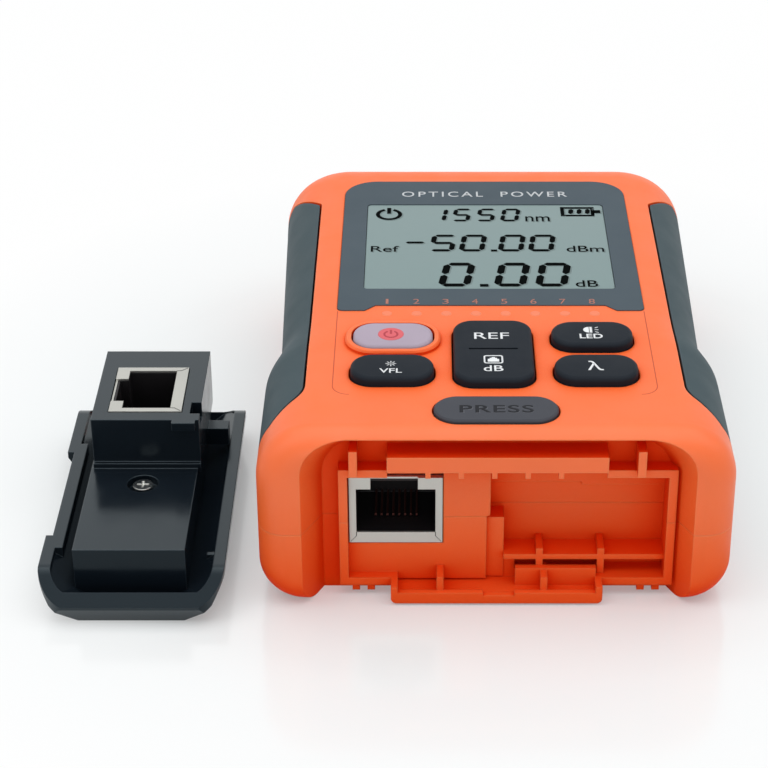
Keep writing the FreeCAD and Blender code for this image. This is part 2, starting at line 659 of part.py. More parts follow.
cell_half = s.cell_pitch * (s.cell_count - 1) / 2 + s.cell_radius
bay_half = cell_half + s.bay_margin
cell_low = behind(s.cell_start)
cell_high = cell_low + s.cell_length
bay_y = (cell_low - s.bay_margin - s.contact_thickness - s.spring_room,
         cell_high + s.bay_margin + s.contact_thickness + s.cell_nub)
bay_roof = s.cell_level + s.cell_radius + s.bay_margin
battery_walls = block("battery_walls", (-bay_half - s.bay_wall, bay_half + s.bay_wall),
                      (bay_y[0] - s.bay_wall, bay_y[1] + s.bay_wall),
                      (s.shell_wall / 2, bay_roof + s.bay_roof_wall))
battery_room = block("battery_room", (-bay_half, bay_half), bay_y, (-s.overrun, bay_roof))
door_x = (-bay_half - s.door_overlap, bay_half + s.door_overlap)
door_y = (bay_y[0] - s.door_overlap, bay_y[1] + s.door_overlap)
door_seat = slab("door_seat", (door_x[0] - s.door_gap, door_x[1] + s.door_gap),
                 (door_y[0] - s.door_gap, door_y[1] + s.door_gap),
                 (-s.overrun, s.door_thickness + s.touch_gap), s.door_corner + s.door_gap)
ledge_reach = s.door_gap + s.ledge_width
door_ledge = slab("door_ledge", (door_x[0] - ledge_reach, door_x[1] + ledge_reach),
                  (door_y[0] - ledge_reach, door_y[1] + ledge_reach),
                  (s.shell_wall / 2, s.door_thickness + s.ledge_height),
                  s.door_corner + s.ledge_width)

back_bosses = []
screw_wells = []
for number, (x, y) in enumerate(screw_places, start=1):
    back_bosses.append(drum(f"back_boss_{number}", "Z", (x, y, s.shell_wall / 2),
                            s.boss_radius, s.parting_level - s.shell_wall / 2))
    screw_wells.append(drum(f"screw_well_{number}", "Z", (x, y, -s.overrun),
                            s.screw_head_radius + s.head_gap, s.screw_seat + s.overrun))
    screw_wells.append(drum(f"screw_pass_{number}", "Z", (x, y, 0),
                            s.screw_radius + s.touch_gap, s.parting_level + s.overrun))

tongue_top = s.tongue_bottom + s.tongue_thickness
tongue_in = (s.tongue_left + s.tongue_wall, s.tongue_right - s.tongue_wall)
tongue = prism("tongue_block", "XZ", behind(s.tongue_front), frame_back + s.overrun, rectangle(
    (s.tongue_left, s.tongue_right), (s.tongue_bottom, frame_low)))
rounded(tongue, "tongue_round", s.tongue_round, lambda point, way:
        abs(way.y) > 0.9 and near(point.z, s.tongue_bottom))
tongue_hollow = block("tongue_hollow", tongue_in,
                      (behind(s.tongue_front + s.tongue_lip), frame_back),
                      (tongue_top, frame_low + s.overrun))
tongue_front_cut = block("tongue_front_cut", tongue_in, (nose - s.overrun, behind(s.frame_front)),
                         (tongue_top + s.tongue_lip_height, frame_low + s.overrun))
lip_dip = block("lip_dip", (s.lip_dip_left, s.lip_dip_right), (nose - s.overrun, behind(s.frame_front)),
                (tongue_top + s.tongue_lip_height - s.lip_dip, frame_low + s.overrun))
tongue_ribs = [
    block("tongue_rib_" + word, (x - s.tongue_rib / 2, x + s.tongue_rib / 2),
          (behind(s.tongue_front + s.tongue_lip) - s.root, frame_back),
          (tongue_top - s.root, tongue_top + s.tongue_rib_height))
    for word, x in (("left", s.tongue_rib_left), ("right", s.tongue_rib_right))]
tray_wall = block("tray_wall", (s.shelf_pocket_left, s.tongue_right - s.tongue_wall + s.root),
                  (behind(s.tray_wall_front), behind(s.tray_wall_front + s.tray_wall)),
                  (tongue_top - s.root, s.tray_wall_top))
frame_floor = [
    block("frame_floor_left", (s.frame_left, s.tongue_left + s.tongue_wall),
          (behind(s.frame_front), frame_back), (s.frame_bottom, frame_low)),
    block("frame_floor_right", (s.tongue_right - s.tongue_wall, s.frame_right),
          (behind(s.frame_front), frame_back), (s.frame_bottom, frame_low)),
]
under_ribs = []
for word, start, way in (("left", s.frame_left + s.under_rib_inset, 1),
                         ("right", s.frame_right - s.under_rib_inset, -1)):
    for index in range(int(s.under_rib_count.value)):
        x = start + way * (index * s.under_rib_pitch + s.under_rib_width / 2)
        under_ribs.append(block(f"under_rib_{word}_{index + 1}",
                                (x - s.under_rib_width / 2, x + s.under_rib_width / 2),
                                (behind(s.frame_front) + s.under_rib_setback, frame_back),
                                (s.frame_bottom - s.under_rib_drop, s.frame_bottom)))
lower_right = s.block_right - s.lower_block_inset
jack_wall = block("jack_wall", (frame_in_left, lower_right),
                  (behind(s.jack_wall_front), frame_back),
                  (s.frame_bottom, jack_room_floor))
lower_block = block("lower_block", (jack_right + s.jack_gap, lower_right),
                    (behind(s.jack_wall_front), frame_back),
                    (frame_low, s.parting_level))
step = block("bay_step", (lower_right, s.step_right),
             (behind(s.step_front), behind(s.hollow_end) + s.root),
             (s.frame_bottom, s.step_top))
shelf = block("shelf", (s.step_right, frame_in_right), (behind(s.shelf_front), frame_back),
              (shelf_low, s.hollow_floor))
shelf_ribs = [
    block(f"shelf_rib_{index + 1}", (x - rib_half, x + rib_half),
          (behind(s.shelf_front), behind(s.hollow_end) + s.root),
          (frame_low, s.hollow_floor + s.shelf_rib_rise))
    for index, x in enumerate((s.shelf_rib_first, s.shelf_rib_last))]

back_half = half_body("back_half", -s.overrun, s.parting_level)
back_body = cut("back_body", back_half, *shared_tools)
back_walls = fuse("back_walls", back_body, battery_walls, door_ledge, *back_bosses)
back_open = cut("back_open", back_walls, battery_room, door_seat, hollow_rooms[0],
                *shelf_pockets, *screw_wells)
tongue_form = cut("tongue_form", tongue, tongue_hollow, tongue_front_cut, lip_dip)
back_bay = fuse("back_bay", tongue_form, jack_wall, lower_block, step, shelf, tray_wall,
                *tongue_ribs, *frame_floor, *under_ribs, *shelf_ribs,
                *frame_part("back_frame", s.frame_bottom, s.parting_level))
node("back_shell", fuse("back_shell_form", back_open, back_bay))

# ---- display ----

bezel = bezel_form("bezel_form", 0, bezel_bottom, s.body_depth + s.bezel_proud)
window = slab("window_cut", (-s.window_half, s.window_half),
              (behind(s.window_start), behind(s.window_end)),
              (bezel_bottom - s.overrun, s.body_depth + s.overrun * 2), s.window_corner)
node("display_bezel", cut("bezel", bezel, window))
glass_top = bezel_bottom - s.touch_gap
glass_bottom = glass_top - s.glass_thickness
node("lcd_panel", slab("lcd_form", glass_x, glass_y, (glass_bottom, glass_top), s.lcd_corner))
holder_x = (glass_x[0] - s.holder_margin, glass_x[1] + s.holder_margin)
holder_y = (glass_y[0] - s.holder_margin, glass_y[1] + s.holder_margin)
holder_top = s.body_depth - s.shell_wall - s.touch_gap
lcd_seat = block("lcd_seat", (glass_x[0] - s.touch_gap, glass_x[1] + s.touch_gap),
                 (glass_y[0] - s.touch_gap, glass_y[1] + s.touch_gap),
                 (glass_bottom, s.body_depth))
holder = slab("holder_form", holder_x, holder_y, (board_top, holder_top), s.holder_corner)
node("lcd_holder", cut("holder", holder, lcd_seat))

# ---- board, switches and key mat ----

board = slab("board_form", (-hollow_half + s.board_margin, hollow_half - s.board_margin),
             (board_start, tail - side_wall - s.board_margin), (board_bottom, board_top),
             s.tail_corner - side_wall - s.board_margin)
board_holes = [drum(f"board_hole_{number}", "Z", (x, y, board_bottom - s.overrun),
                    s.boss_radius + s.board_gap, s.board_thickness + s.overrun * 2)
               for number, (x, y) in enumerate(screw_places, start=1)]
node("main_board", cut("board", board, *board_holes))
mat_y = (board_start + s.mat_gap, behind(s.led_row) - s.led_radius - s.led_gap)
mat_half = s.side_key_offset + s.small_key_width / 2 + s.flange_width
node("key_mat", slab("mat_form", (-mat_half, mat_half), mat_y, (mat_bottom, mat_top), s.mat_corner))
switches = []
for name, (x, row, width, length, corner, proud) in keys.items():
    half = s.switch_width / 2
    switches.append(block(name + "_switch", (x - half, x + half),
                          (behind(row) - half, behind(row) + half), (board_top, mat_bottom)))
node("key_switches", group("switch_group", switches))
node("indicator_leds", group("led_group", [
    drum(f"led_{index + 1}", "Z", (x, behind(s.led_row), board_top), s.led_radius,
         s.body_depth - s.led_sink - board_top) for index, x in enumerate(led_x)]))

# ---- keys and release button ----

for name, (x, row, width, length, corner, proud) in keys.items():
    across, along = key_span(name, 0)
    top = s.body_depth + proud
    cap = slab(name + "_cap", across, along, (key_bottom, top), corner, s.key_bevel)
    wide_across, wide_along = key_span(name, s.flange_width)
    flange = slab(name + "_flange", wide_across, wide_along,
                  (key_bottom, key_bottom + s.flange_thickness), corner + s.flange_width)
    solid = fuse(name + "_solid", cap, flange)
    if name == "key_ref_db":
        half = s.groove_length / 2
        y = behind(row)
        groove = block("ref_groove", (x - half, x + half),
                       (y - s.groove_width / 2, y + s.groove_width / 2),
                       (top - s.groove_depth, top + s.overrun))
        solid = cut("ref_key", solid, groove)
    node(name, solid)

button_cap = slab("button_cap", (-button_half, button_half),
                  (button_row - s.button_length / 2, button_row + s.button_length / 2),
                  (button_bottom, button_bottom + s.button_thickness), button_corner,
                  s.button_bevel)
stem = block("button_stem", (-stem_half, stem_half), stem_y, (stem_bottom, button_bottom))
foot = block("button_foot", (-foot_half, foot_half), stem_y, (stem_bottom, foot_top))
node("release_button", fuse("button_solid", button_cap, stem, foot))


# ---- shielded network jack: shield, housing and wires ----

def jack_parts(prefix, deep, place_box):
    """A jack drawn as width across, height up and depth inwards, from its front corner.

    place_box turns those three directions into the part's own.
    """
    skin = s.shield_skin
    wide, high = s.jack_width, s.jack_height
    mouth = ((wide - s.mouth_width) / 2, (wide + s.mouth_width) / 2)
    mouth_up = (s.mouth_bottom, high - s.mouth_top)
    latch = (s.latch_left, s.latch_left + s.latch_width)
    shell = place_box(prefix + "_shell", (0, wide), (0, high), (0, deep))
    core_room = place_box(prefix + "_core_room", (skin, wide - skin), (skin, high - skin),
                          (skin, deep + s.overrun))
    mouth_cut = place_box(prefix + "_mouth", mouth, mouth_up, (-s.overrun, s.mouth_depth))
    latch_cut = place_box(prefix + "_latch", latch, (mouth_up[0], high - s.latch_roof),
                          (-s.overrun, s.latch_depth))
    latch_slot = place_box(prefix + "_latch_slot", latch, (mouth_up[0], high + s.overrun),
                           (-s.overrun, skin + s.touch_gap))
    node(prefix + "_shield", cut(prefix + "_shield_form", shell, core_room, mouth_cut,
                                 latch_slot))
    gap = s.touch_gap
    insert = place_box(prefix + "_insert", (skin + gap, wide - skin - gap),
                       (skin + gap, high - skin - gap), (skin + gap, deep))
    node(prefix + "_housing", cut(prefix + "_housing_form", insert, mouth_cut, latch_cut))
    wires = []
    for index in range(int(s.wire_count.value)):
        across = wide / 2 + (-(s.wire_count - 1) / 2 + index) * s.wire_pitch
        low = mouth_up[0] + s.wire_height - s.wire_width / 2
        wires.append(place_box(f"{prefix}_wire_{index + 1}",
                               (across - s.wire_width / 2, across + s.wire_width / 2),
                               (low, low + s.wire_width),
                               (s.mouth_depth - s.wire_length, s.mouth_depth)))
    node(prefix + "_contacts", group(prefix + "_wire_group", wires))


def meter_box(name, across, up, inwards):
    return block(name, [s.jack_left + value for value in across],
                 [behind(s.jack_front) + value for value in inwards],
                 [s.jack_bottom + value for value in up])


jack_parts("jack", s.jack_length, meter_box)
node("jack_board", block(
    "jack_board_form", (s.jack_left, jack_right), (jack_end + s.touch_gap,
                                                   jack_end + s.touch_gap + s.jack_board_thickness),
    (s.jack_bottom, board_bottom - s.touch_gap)))

# ---- ports, their dust caps and the torch lamp ----


def port(name, x, radius):
    """A metal port: flange inside the wall, barrel out of the tail, a ferrule bore."""
    root = tail - side_wall - s.port_flange_depth
    flange = drum(name + "_flange", "Y", (x, root, s.port_level), radius + s.port_flange,
                  s.port_flange_depth - s.touch_gap)
    barrel = drum(name + "_barrel", "Y", (x, root, s.port_level), radius,
                  side_wall + s.port_flange_depth + s.port_reach)
    bore = drum(name + "_bore_cut", "Y", (x, root - s.overrun, s.port_level), s.ferrule_radius,
                side_wall + s.port_flange_depth + s.port_reach + s.overrun * 2)
    return cut(name + "_form", fuse(name + "_turned", flange, barrel), bore)


def dust_cap(name, x, radius):
    """A rubber cup that slips over a port's barrel."""
    start = tail + s.cap_clearance
    outside = drum(name + "_outside", "Y", (x, start, s.port_level),
                   radius + s.cap_clearance + s.cap_wall, s.port_reach + s.cap_end)
    inside = drum(name + "_inside", "Y", (x, start - s.overrun, s.port_level),
                  radius + s.cap_clearance, s.port_reach + s.overrun + s.cap_clearance)
    return cut(name + "_form", outside, inside)


for word, x, radius in (("opm", s.opm_port_x, s.opm_port_radius),
                        ("vfl", s.vfl_port_x, s.vfl_port_radius)):
    node(word + "_port", port(word + "_port", x, radius))
    node(word + "_cap", dust_cap(word + "_cap", x, radius))

torch_root = tail - side_wall - s.port_flange_depth
torch_body = drum("torch_body", "Y", (0, torch_root, s.port_level), s.torch_radius,
                  side_wall + s.port_flange_depth + s.torch_proud)
torch_rim = drum("torch_rim", "Y", (0, torch_root, s.port_level),
                 s.torch_radius + s.torch_flange, s.port_flange_depth - s.touch_gap)
node("torch_led", fuse("torch_form", torch_body, torch_rim))

# ---- batteries, contacts, door and case screws ----

cells = []
for index in range(int(s.cell_count.value)):
    x = (-(s.cell_count - 1) / 2 + index) * s.cell_pitch
    can = drum(f"cell_{index + 1}", "Y", (x, cell_low, s.cell_level), s.cell_radius,
               s.cell_length)
    nub_start = cell_high if index % 2 == 0 else cell_low - s.cell_nub
    nub = drum(f"cell_nub_{index + 1}", "Y", (x, nub_start, s.cell_level),
               s.cell_nub_radius, s.cell_nub)
    cells.append(fuse(f"cell_form_{index + 1}", can, nub))
node("battery_cells", group("cell_group", cells))

contacts = []
for index in range(int(s.cell_count.value)):
    x = (-(s.cell_count - 1) / 2 + index) * s.cell_pitch
    half = s.contact_width / 2
    for word, y in (("near", bay_y[0]), ("far", bay_y[1] - s.contact_thickness)):
        contacts.append(block(f"contact_{word}_{index + 1}", (x - half, x + half),
                              (y, y + s.contact_thickness),
                              (s.cell_level - half, s.cell_level + half)))
node("battery_contacts", group("contact_group", contacts))

node("battery_door", slab("door_form", door_x, door_y, (0, s.door_thickness), s.door_corner))

screws = []
for number, (x, y) in enumerate(screw_places, start=1):
    head = drum(f"screw_head_{number}", "Z", (x, y, s.screw_seat - s.screw_head),
                s.screw_head_radius, s.screw_head)
    shank = drum(f"screw_shank_{number}", "Z", (x, y, s.screw_seat - s.screw_head),
                 s.screw_radius, s.screw_head + s.screw_length)
    drive = [block(f"screw_slot_{number}_{word}", (x - wide, x + wide),
                   (y - long, y + long), (s.screw_seat - s.screw_head - s.overrun,
                                          s.screw_seat - s.screw_head / 2))
             for word, wide, long in (("a", s.drive_half, s.drive_reach),
                                      ("b", s.drive_reach, s.drive_half))]
    screws.append(cut(f"screw_{number}", fuse(f"screw_blank_{number}", head, shank), *drive))
node("case_screws", group("screw_group", screws))

# ---- remote cap: cover, block, jack, board and screw ----

remote_left = s.remote_x - s.remote_width / 2
remote_right = s.remote_x + s.remote_width / 2
remote_near = behind(s.remote_near)
remote_far = remote_near + s.remote_length
remote_middle = remote_near + s.remote_length / 2


def beyond_near(distance):
    """The Y place that lies this far from the remote's near end."""
    return remote_near + distance


def before_far(distance):
    """The Y place that lies this far short of the remote's far end."""
    return remote_far - distance


def dish(name, shrink, low, high):
    """The cover's outer form: a flat foot that swells in two steps to the rim."""
    body = doc.addObject("PartDesign::Body", name)
    rim_half = (s.remote_width / 2 - shrink, s.remote_length / 2 - shrink)
    foot_half = (s.remote_foot_width / 2 - shrink, s.remote_foot_length / 2 - shrink)
    belly_half = [foot + (rim - foot) * s.remote_belly
                  for foot, rim in zip(foot_half, rim_half)]
    rings = []
    for word, level, half in (("foot", low, foot_half), ("belly", low + s.remote_belly_level,
                                                         belly_half), ("rim", high, rim_half)):
        rings.append(outline(body, f"{name}_{word}", "XY", level, rectangle(
            (s.remote_x - half[0], s.remote_x + half[0]),
            (remote_middle - half[1], remote_middle + half[1]))))
    loft = body.newObject("PartDesign::AdditiveLoft", name + "_loft")
    loft.Profile = rings[0]
    loft.Sections = rings[1:]
    loft.Ruled = True
    doc.recompute()
    return body


def dished(name, shrink, low, high):
    """The dish with an upright rim above it, all inside a plan with rounded corners."""
    ledge = s.remote_rim - s.remote_lip
    bowl = dish(name + "_bowl", shrink, low, ledge)
    across = (remote_left + shrink, remote_right - shrink)
    along = (remote_near + shrink, remote_far - shrink)
    rim = block(name + "_rim", across, along, (ledge, high))
    plan = slab(name + "_plan", across, along, (low, high), s.remote_corner - shrink)
    return common(name, fuse(name + "_stack", bowl, rim), plan)


# both ends of the rim fall away, to meet the meter's rounded sides
side_view = prism("cover_side_view", "YZ", remote_left - s.overrun, remote_right + s.overrun, [
    (remote_near, -s.overrun), (remote_far, -s.overrun), (remote_far, s.remote_end_level),
    (before_far(s.remote_fall), s.remote_rim), (beyond_near(s.remote_fall), s.remote_rim),
    (remote_near, s.remote_end_level)])
rounded(side_view, "cover_shoulders", s.remote_shoulder, lambda point, way:
        abs(way.x) > 0.9 and near(point.z, s.remote_rim))
cover_blank = common("cover_blank", dished("cover_outside", as_size(0), as_size(0),
                                           s.remote_rim), side_view)
tray = dished("cover_tray", s.remote_wall, s.remote_floor, s.remote_rim + s.overrun)
notch = block("cover_notch", (remote_left - s.overrun, remote_left + s.notch_depth),
              (beyond_near(s.notch_start), beyond_near(s.notch_end)),
              (s.notch_floor, s.remote_rim + s.overrun))
cover_open = cut("cover_open", cover_blank, tray, notch)
bar_left = remote_left + s.notch_depth
bar = common("cover_bar", cover_blank, block(
    "cover_bar_limits", (bar_left, bar_left + s.bar_width),
    (beyond_near(s.bar_start), beyond_near(s.notch_end + s.bar_overlap)), (0, s.remote_rim)))
inner_tab = common("inner_tab", cover_blank, block(
    "inner_tab_limits", (remote_right - s.remote_wall - s.inner_tab_reach, remote_right),
    (beyond_near(s.inner_tab_y), beyond_near(s.inner_tab_y + s.inner_tab_width)),
    (s.remote_floor / 2, s.inner_tab_top)))
screw_x = s.remote_x
screw_y = before_far(s.remote_screw_row)
post = drum("cover_post", "Z", (screw_x, screw_y, s.remote_floor / 2), s.post_radius,
            s.post_top - s.remote_floor / 2)
post_bore = drum("cover_post_bore", "Z", (screw_x, screw_y, s.remote_floor),
                 s.remote_screw_radius, s.post_top)
node("remote_cover", cut("cover_form", fuse("cover_solid", cover_open, bar, inner_tab, post),
                         post_bore))

platform_x = (s.remote_x + s.platform_left, s.remote_x + s.platform_right)
platform_y = (beyond_near(s.platform_near), before_far(s.block_far))
block_x = (s.remote_x + s.block_left, s.remote_x + s.block_right_side)
block_y = (before_far(s.block_far + s.block_length), before_far(s.block_far))
platform = block("platform", platform_x, platform_y, (s.remote_floor, s.platform_top))
tower = block("tower", block_x, block_y, (s.platform_top - s.overrun, s.block_top))
bead = block("tower_bead", (block_x[0], block_x[1]), (block_y[0] - s.bead_proud, block_y[0] + s.overrun),
             (s.platform_top, s.platform_top + s.bead_height))
brow = block("tower_brow", (block_x[1] - s.brow_inset - s.brow_width, block_x[1] - s.brow_inset),
             (block_y[0] - s.brow_proud, block_y[0] + s.overrun), (s.block_top - s.brow_depth,
                                                           s.block_top))
tower_notch = block("tower_notch", (block_x[1] - s.block_notch_width, block_x[1] + s.overrun),
                    (block_y[0] + s.block_notch_row - s.block_notch_length,
                     block_y[0] + s.block_notch_row),
                    (s.block_top - s.block_notch_depth, s.block_top + s.overrun))
saddle = block("tower_saddle", (block_x[1] - s.overrun, remote_right - s.remote_wall - s.jack_gap),
               (before_far(s.saddle_row), before_far(s.saddle_row - s.saddle_width)),
               (s.remote_rim, s.saddle_top))
platform_room = block("platform_room",
                      (platform_x[0] + s.platform_skin, platform_x[1] - s.platform_skin),
                      (platform_y[0] + s.platform_skin, platform_y[1] - s.platform_skin),
                      (0, s.platform_top - s.platform_skin))
remote_jack_left = s.remote_x + s.remote_jack_x - s.jack_height / 2
remote_jack_near = before_far(s.remote_jack_row)
remote_jack_top = s.block_top + s.jack_proud
tower_room = block("tower_room", (remote_jack_left - s.jack_gap,
                                  remote_jack_left + s.jack_height + s.jack_gap),
                   (remote_jack_near - s.jack_gap, remote_jack_near + s.jack_width + s.jack_gap),
                   (0, s.block_top + s.overrun))
counterbore = drum("counterbore", "Z", (screw_x, screw_y, s.platform_top - s.counterbore_depth),
                   s.counterbore_radius, s.counterbore_depth + s.overrun)
clear_bore = drum("clear_bore", "Z", (screw_x, screw_y, 0), s.remote_screw_radius + s.jack_gap,
                  s.platform_top)
boss = drum("screw_sleeve", "Z", (screw_x, screw_y, s.post_top + s.touch_gap),
            s.counterbore_radius + s.platform_skin,
            s.platform_top - s.post_top - s.touch_gap)
outside_cover = cut("outside_cover", block(
    "under_rim", (remote_left - s.overrun, remote_right + s.overrun),
    (remote_near - s.overrun, remote_far + s.overrun), (-s.overrun, s.remote_rim)), tray)
block_shell = cut("block_shell", fuse("block_blank", platform, tower, bead, brow, saddle),
                  platform_room)
node("remote_block", cut("block_form", fuse("block_solid", block_shell, boss),
                         tower_room, tower_notch, counterbore, clear_bore, outside_cover))

screw_seat = s.platform_top - s.counterbore_depth
head = drum("remote_screw_head", "Z", (screw_x, screw_y, screw_seat), s.remote_screw_head,
            s.remote_screw_head_height)
shank = drum("remote_screw_shank", "Z", (screw_x, screw_y, screw_seat - s.remote_screw_length),
             s.remote_screw_radius, s.remote_screw_length)
drive_top = screw_seat + s.remote_screw_head_height
drive = [block("remote_drive_" + word, (screw_x - wide, screw_x + wide),
               (screw_y - long, screw_y + long), (drive_top - s.remote_drive_depth,
                                                    drive_top + s.overrun))
         for word, wide, long in (("a", s.remote_drive_half, s.remote_drive_reach),
                                  ("b", s.remote_drive_reach, s.remote_drive_half))]
node("remote_screw", cut("remote_screw_form", fuse("remote_screw_blank", head, shank), *drive))


def remote_box(name, across, up, inwards):
    """The remote's jack faces up, with its latch side to the left."""
    return block(name, [remote_jack_left + s.jack_height - value for value in reversed(up)],
                 [remote_jack_near + value for value in across],
                 [remote_jack_top - value for value in reversed(inwards)])


jack_parts("remote_jack", s.remote_jack_length, remote_box)
remote_board_top = remote_jack_top - s.remote_jack_length - s.touch_gap
node("remote_board", block(
    "remote_board_form", (remote_jack_left, remote_jack_left + s.jack_height),
    (remote_jack_near, remote_jack_near + s.jack_width),
    (remote_board_top - s.board_thickness, remote_board_top)))

# ---- check every feature, then write one file for each node ----

doc.recompute()
for thing in doc.Objects:
    if "Invalid" in thing.State or "Error" in thing.State:
        raise RuntimeError(f"{thing.Name} failed: {thing.State}")
for name, thing in nodes.items():
    if thing.Shape.isNull() or not thing.Shape.isValid():
        raise RuntimeError(f"{name} has no valid shape")

os.makedirs("parts", exist_ok=True)
for name, thing in nodes.items():
    thing.Shape.exportStep(f"parts/{name}.step")
print(f"wrote {len(nodes)} nodes")
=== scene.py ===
import bpy
import json
import math
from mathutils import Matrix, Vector


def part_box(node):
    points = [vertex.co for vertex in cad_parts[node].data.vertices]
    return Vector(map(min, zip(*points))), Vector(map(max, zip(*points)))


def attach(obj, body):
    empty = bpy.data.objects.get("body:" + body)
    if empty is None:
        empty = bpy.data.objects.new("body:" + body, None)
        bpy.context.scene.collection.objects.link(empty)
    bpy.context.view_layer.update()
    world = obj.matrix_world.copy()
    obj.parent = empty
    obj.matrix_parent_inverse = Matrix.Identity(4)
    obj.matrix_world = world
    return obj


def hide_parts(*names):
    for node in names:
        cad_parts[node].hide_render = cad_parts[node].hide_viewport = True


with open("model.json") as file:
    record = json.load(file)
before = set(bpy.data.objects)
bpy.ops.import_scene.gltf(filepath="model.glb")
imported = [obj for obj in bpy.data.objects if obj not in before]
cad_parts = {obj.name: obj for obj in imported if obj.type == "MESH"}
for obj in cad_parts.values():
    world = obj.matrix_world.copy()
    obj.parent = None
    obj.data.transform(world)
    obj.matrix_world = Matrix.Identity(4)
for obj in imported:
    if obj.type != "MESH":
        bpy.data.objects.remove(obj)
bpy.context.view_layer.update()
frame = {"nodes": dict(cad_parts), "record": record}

mm = 0.001
sliver = 0.01 * mm              # slack when edges are picked by their place
smoothAngle = math.radians(35)  # edges up to this angle are shaded smooth
nodeSamples = 6                 # rays of each Bevel and Ambient Occlusion node


# small tools

def deselectAll():
    if bpy.context.object and bpy.context.object.mode != "OBJECT":
        bpy.ops.object.mode_set(mode="OBJECT")
    bpy.ops.object.select_all(action="DESELECT")


def pick(piece):
    deselectAll()
    piece.select_set(True)
    bpy.context.view_layer.objects.active = piece


def settle(piece, name):
    piece.name = name
    piece.data.name = name
    pick(piece)
    bpy.ops.object.transform_apply(location=True, rotation=True, scale=True)
    return piece


def editSelect(piece, mode, chosen):
    # picks faces or edges of the piece in edit mode by a test on each
    pick(piece)
    bpy.ops.object.mode_set(mode="EDIT")
    bpy.ops.mesh.select_mode(type=mode)
    bpy.ops.mesh.select_all(action="DESELECT")
    bpy.ops.object.mode_set(mode="OBJECT")
    mesh = piece.data
    if mode == "FACE":
        for face in mesh.polygons:
            face.select = chosen(piece.matrix_world @ face.center, face.normal)
    else:
        for edge in mesh.edges:
            first, second = (piece.matrix_world @ mesh.vertices[i].co for i in edge.vertices)
            edge.select = chosen(first, second)
    bpy.ops.object.mode_set(mode="EDIT")


def leaveEdit():
    bpy.ops.object.mode_set(mode="OBJECT")


def cutBeyond(piece, place, direction):
    # takes away what lies past a plane and closes the cut
    pick(piece)
    bpy.ops.object.mode_set(mode="EDIT")
    bpy.ops.mesh.select_all(action="SELECT")
    bpy.ops.mesh.bisect(plane_co=place, plane_no=direction, clear_outer=True, use_fill=True)
    leaveEdit()


def smooth(piece):
    pick(piece)
    bpy.ops.object.shade_smooth_by_angle(angle=smoothAngle)


def block(name, centre, size, rotation=(0, 0, 0)):
    bpy.ops.mesh.primitive_cube_add(size=1, location=centre, rotation=rotation, scale=size)
    return settle(bpy.context.object, name)


def bevelEdges(piece, offset, segments, chosen):
    editSelect(piece, "EDGE", chosen)
    bpy.ops.mesh.bevel(offset=offset, segments=segments, affect="EDGES")
    leaveEdit()


def plate(name, low, high, corner, edge, cornerSteps=10, edgeSteps=4):
    # a plate with round corners seen from above and a soft top edge
    size = [b - a for a, b in zip(low, high)]
    piece = block(name, [(a + b) / 2 for a, b in zip(low, high)], size)
    bevelEdges(piece, corner, cornerSteps, lambda a, b: abs(a.z - b.z) > size[2] / 2)
    if edge:
        bevelEdges(piece, edge, edgeSteps, lambda a, b: min(a.z, b.z) > high[2] - sliver)
    smooth(piece)
    return piece


# materials

def join(tree, source, output, target, socket):
    tree.links.new(source.outputs[output], target.inputs[socket])


def ranged(tree, source, low, high, fromLow=0.3, fromHigh=0.7, output=0):
    # takes a node's value from one range to another
    spread = tree.nodes.new("ShaderNodeMapRange")
    spread.inputs["From Min"].default_value = fromLow
    spread.inputs["From Max"].default_value = fromHigh
    spread.inputs["To Min"].default_value = low
    spread.inputs["To Max"].default_value = high
    join(tree, source, output, spread, "Value")
    return spread


def noise(tree, coordinate, scale, detail):
    texture = tree.nodes.new("ShaderNodeTexNoise")
    texture.inputs["Scale"].default_value = scale
    texture.inputs["Detail"].default_value = detail
    join(tree, coordinate, "Object", texture, "Vector")
    return texture


def blended(tree, share, first, second):
    # a mix of two colours, each written out or coming from a node
    mix = tree.nodes.new("ShaderNodeMix")
    mix.data_type = "RGBA"
    join(tree, share, 0, mix, "Factor")
    for socket, side in (("A", first), ("B", second)):
        if isinstance(side, tuple):
            mix.inputs[socket].default_value = (*side, 1)
        else:
            join(tree, side, "Result", mix, socket)
    return mix


def rubbedAndHighlitEdges(tree, rounding, look):
    # rises where the rounded normal leaves the flat one, to bring in the paler edge colour:
    # part wear, part painted highlight
    facing = tree.nodes.new("ShaderNodeNewGeometry")
    turn = tree.nodes.new("ShaderNodeVectorMath")
    turn.operation = "DOT_PRODUCT"
    join(tree, rounding, "Normal", turn, 0)
    join(tree, facing, "Normal", turn, 1)
    return ranged(tree, turn, 0, look["edgeAmount"], *look["edgeTurn"], "Value")


def paintedHollowShade(tree, shader, under, look):
    # painted shade: a deeper, duller colour where the surface is closed in, standing in for
    # the shade that falls in hollows and crevices
    shelter = tree.nodes.new("ShaderNodeAmbientOcclusion")
    shelter.samples = nodeSamples
    shelter.inputs["Distance"].default_value = look["deepReach"] * mm
    sheen = ranged(tree, shelter, *look["deepSheen"], *look["deepSheenRange"], "AO")
    join(tree, sheen, 0, shader, "Specular IOR Level")
    paintedShadeShare = ranged(tree, shelter, 0, 1, *look["deepRange"], "AO")
    return blended(tree, paintedShadeShare, look["deepColour"], under)


def glancing(tree, shader, look):
    # gloss that comes up only as the surface turns away
    turning = tree.nodes.new("ShaderNodeLayerWeight")
    turning.inputs["Blend"].default_value = 0.5
    sheen = ranged(tree, turning, *look["glance"], *look["glanceRange"], "Facing")
    join(tree, sheen, 0, shader, "Specular IOR Level")


def plain(name):
    material = bpy.data.materials.new(name)
    material.use_nodes = True
    return material, material.node_tree, material.node_tree.nodes["Principled BSDF"]
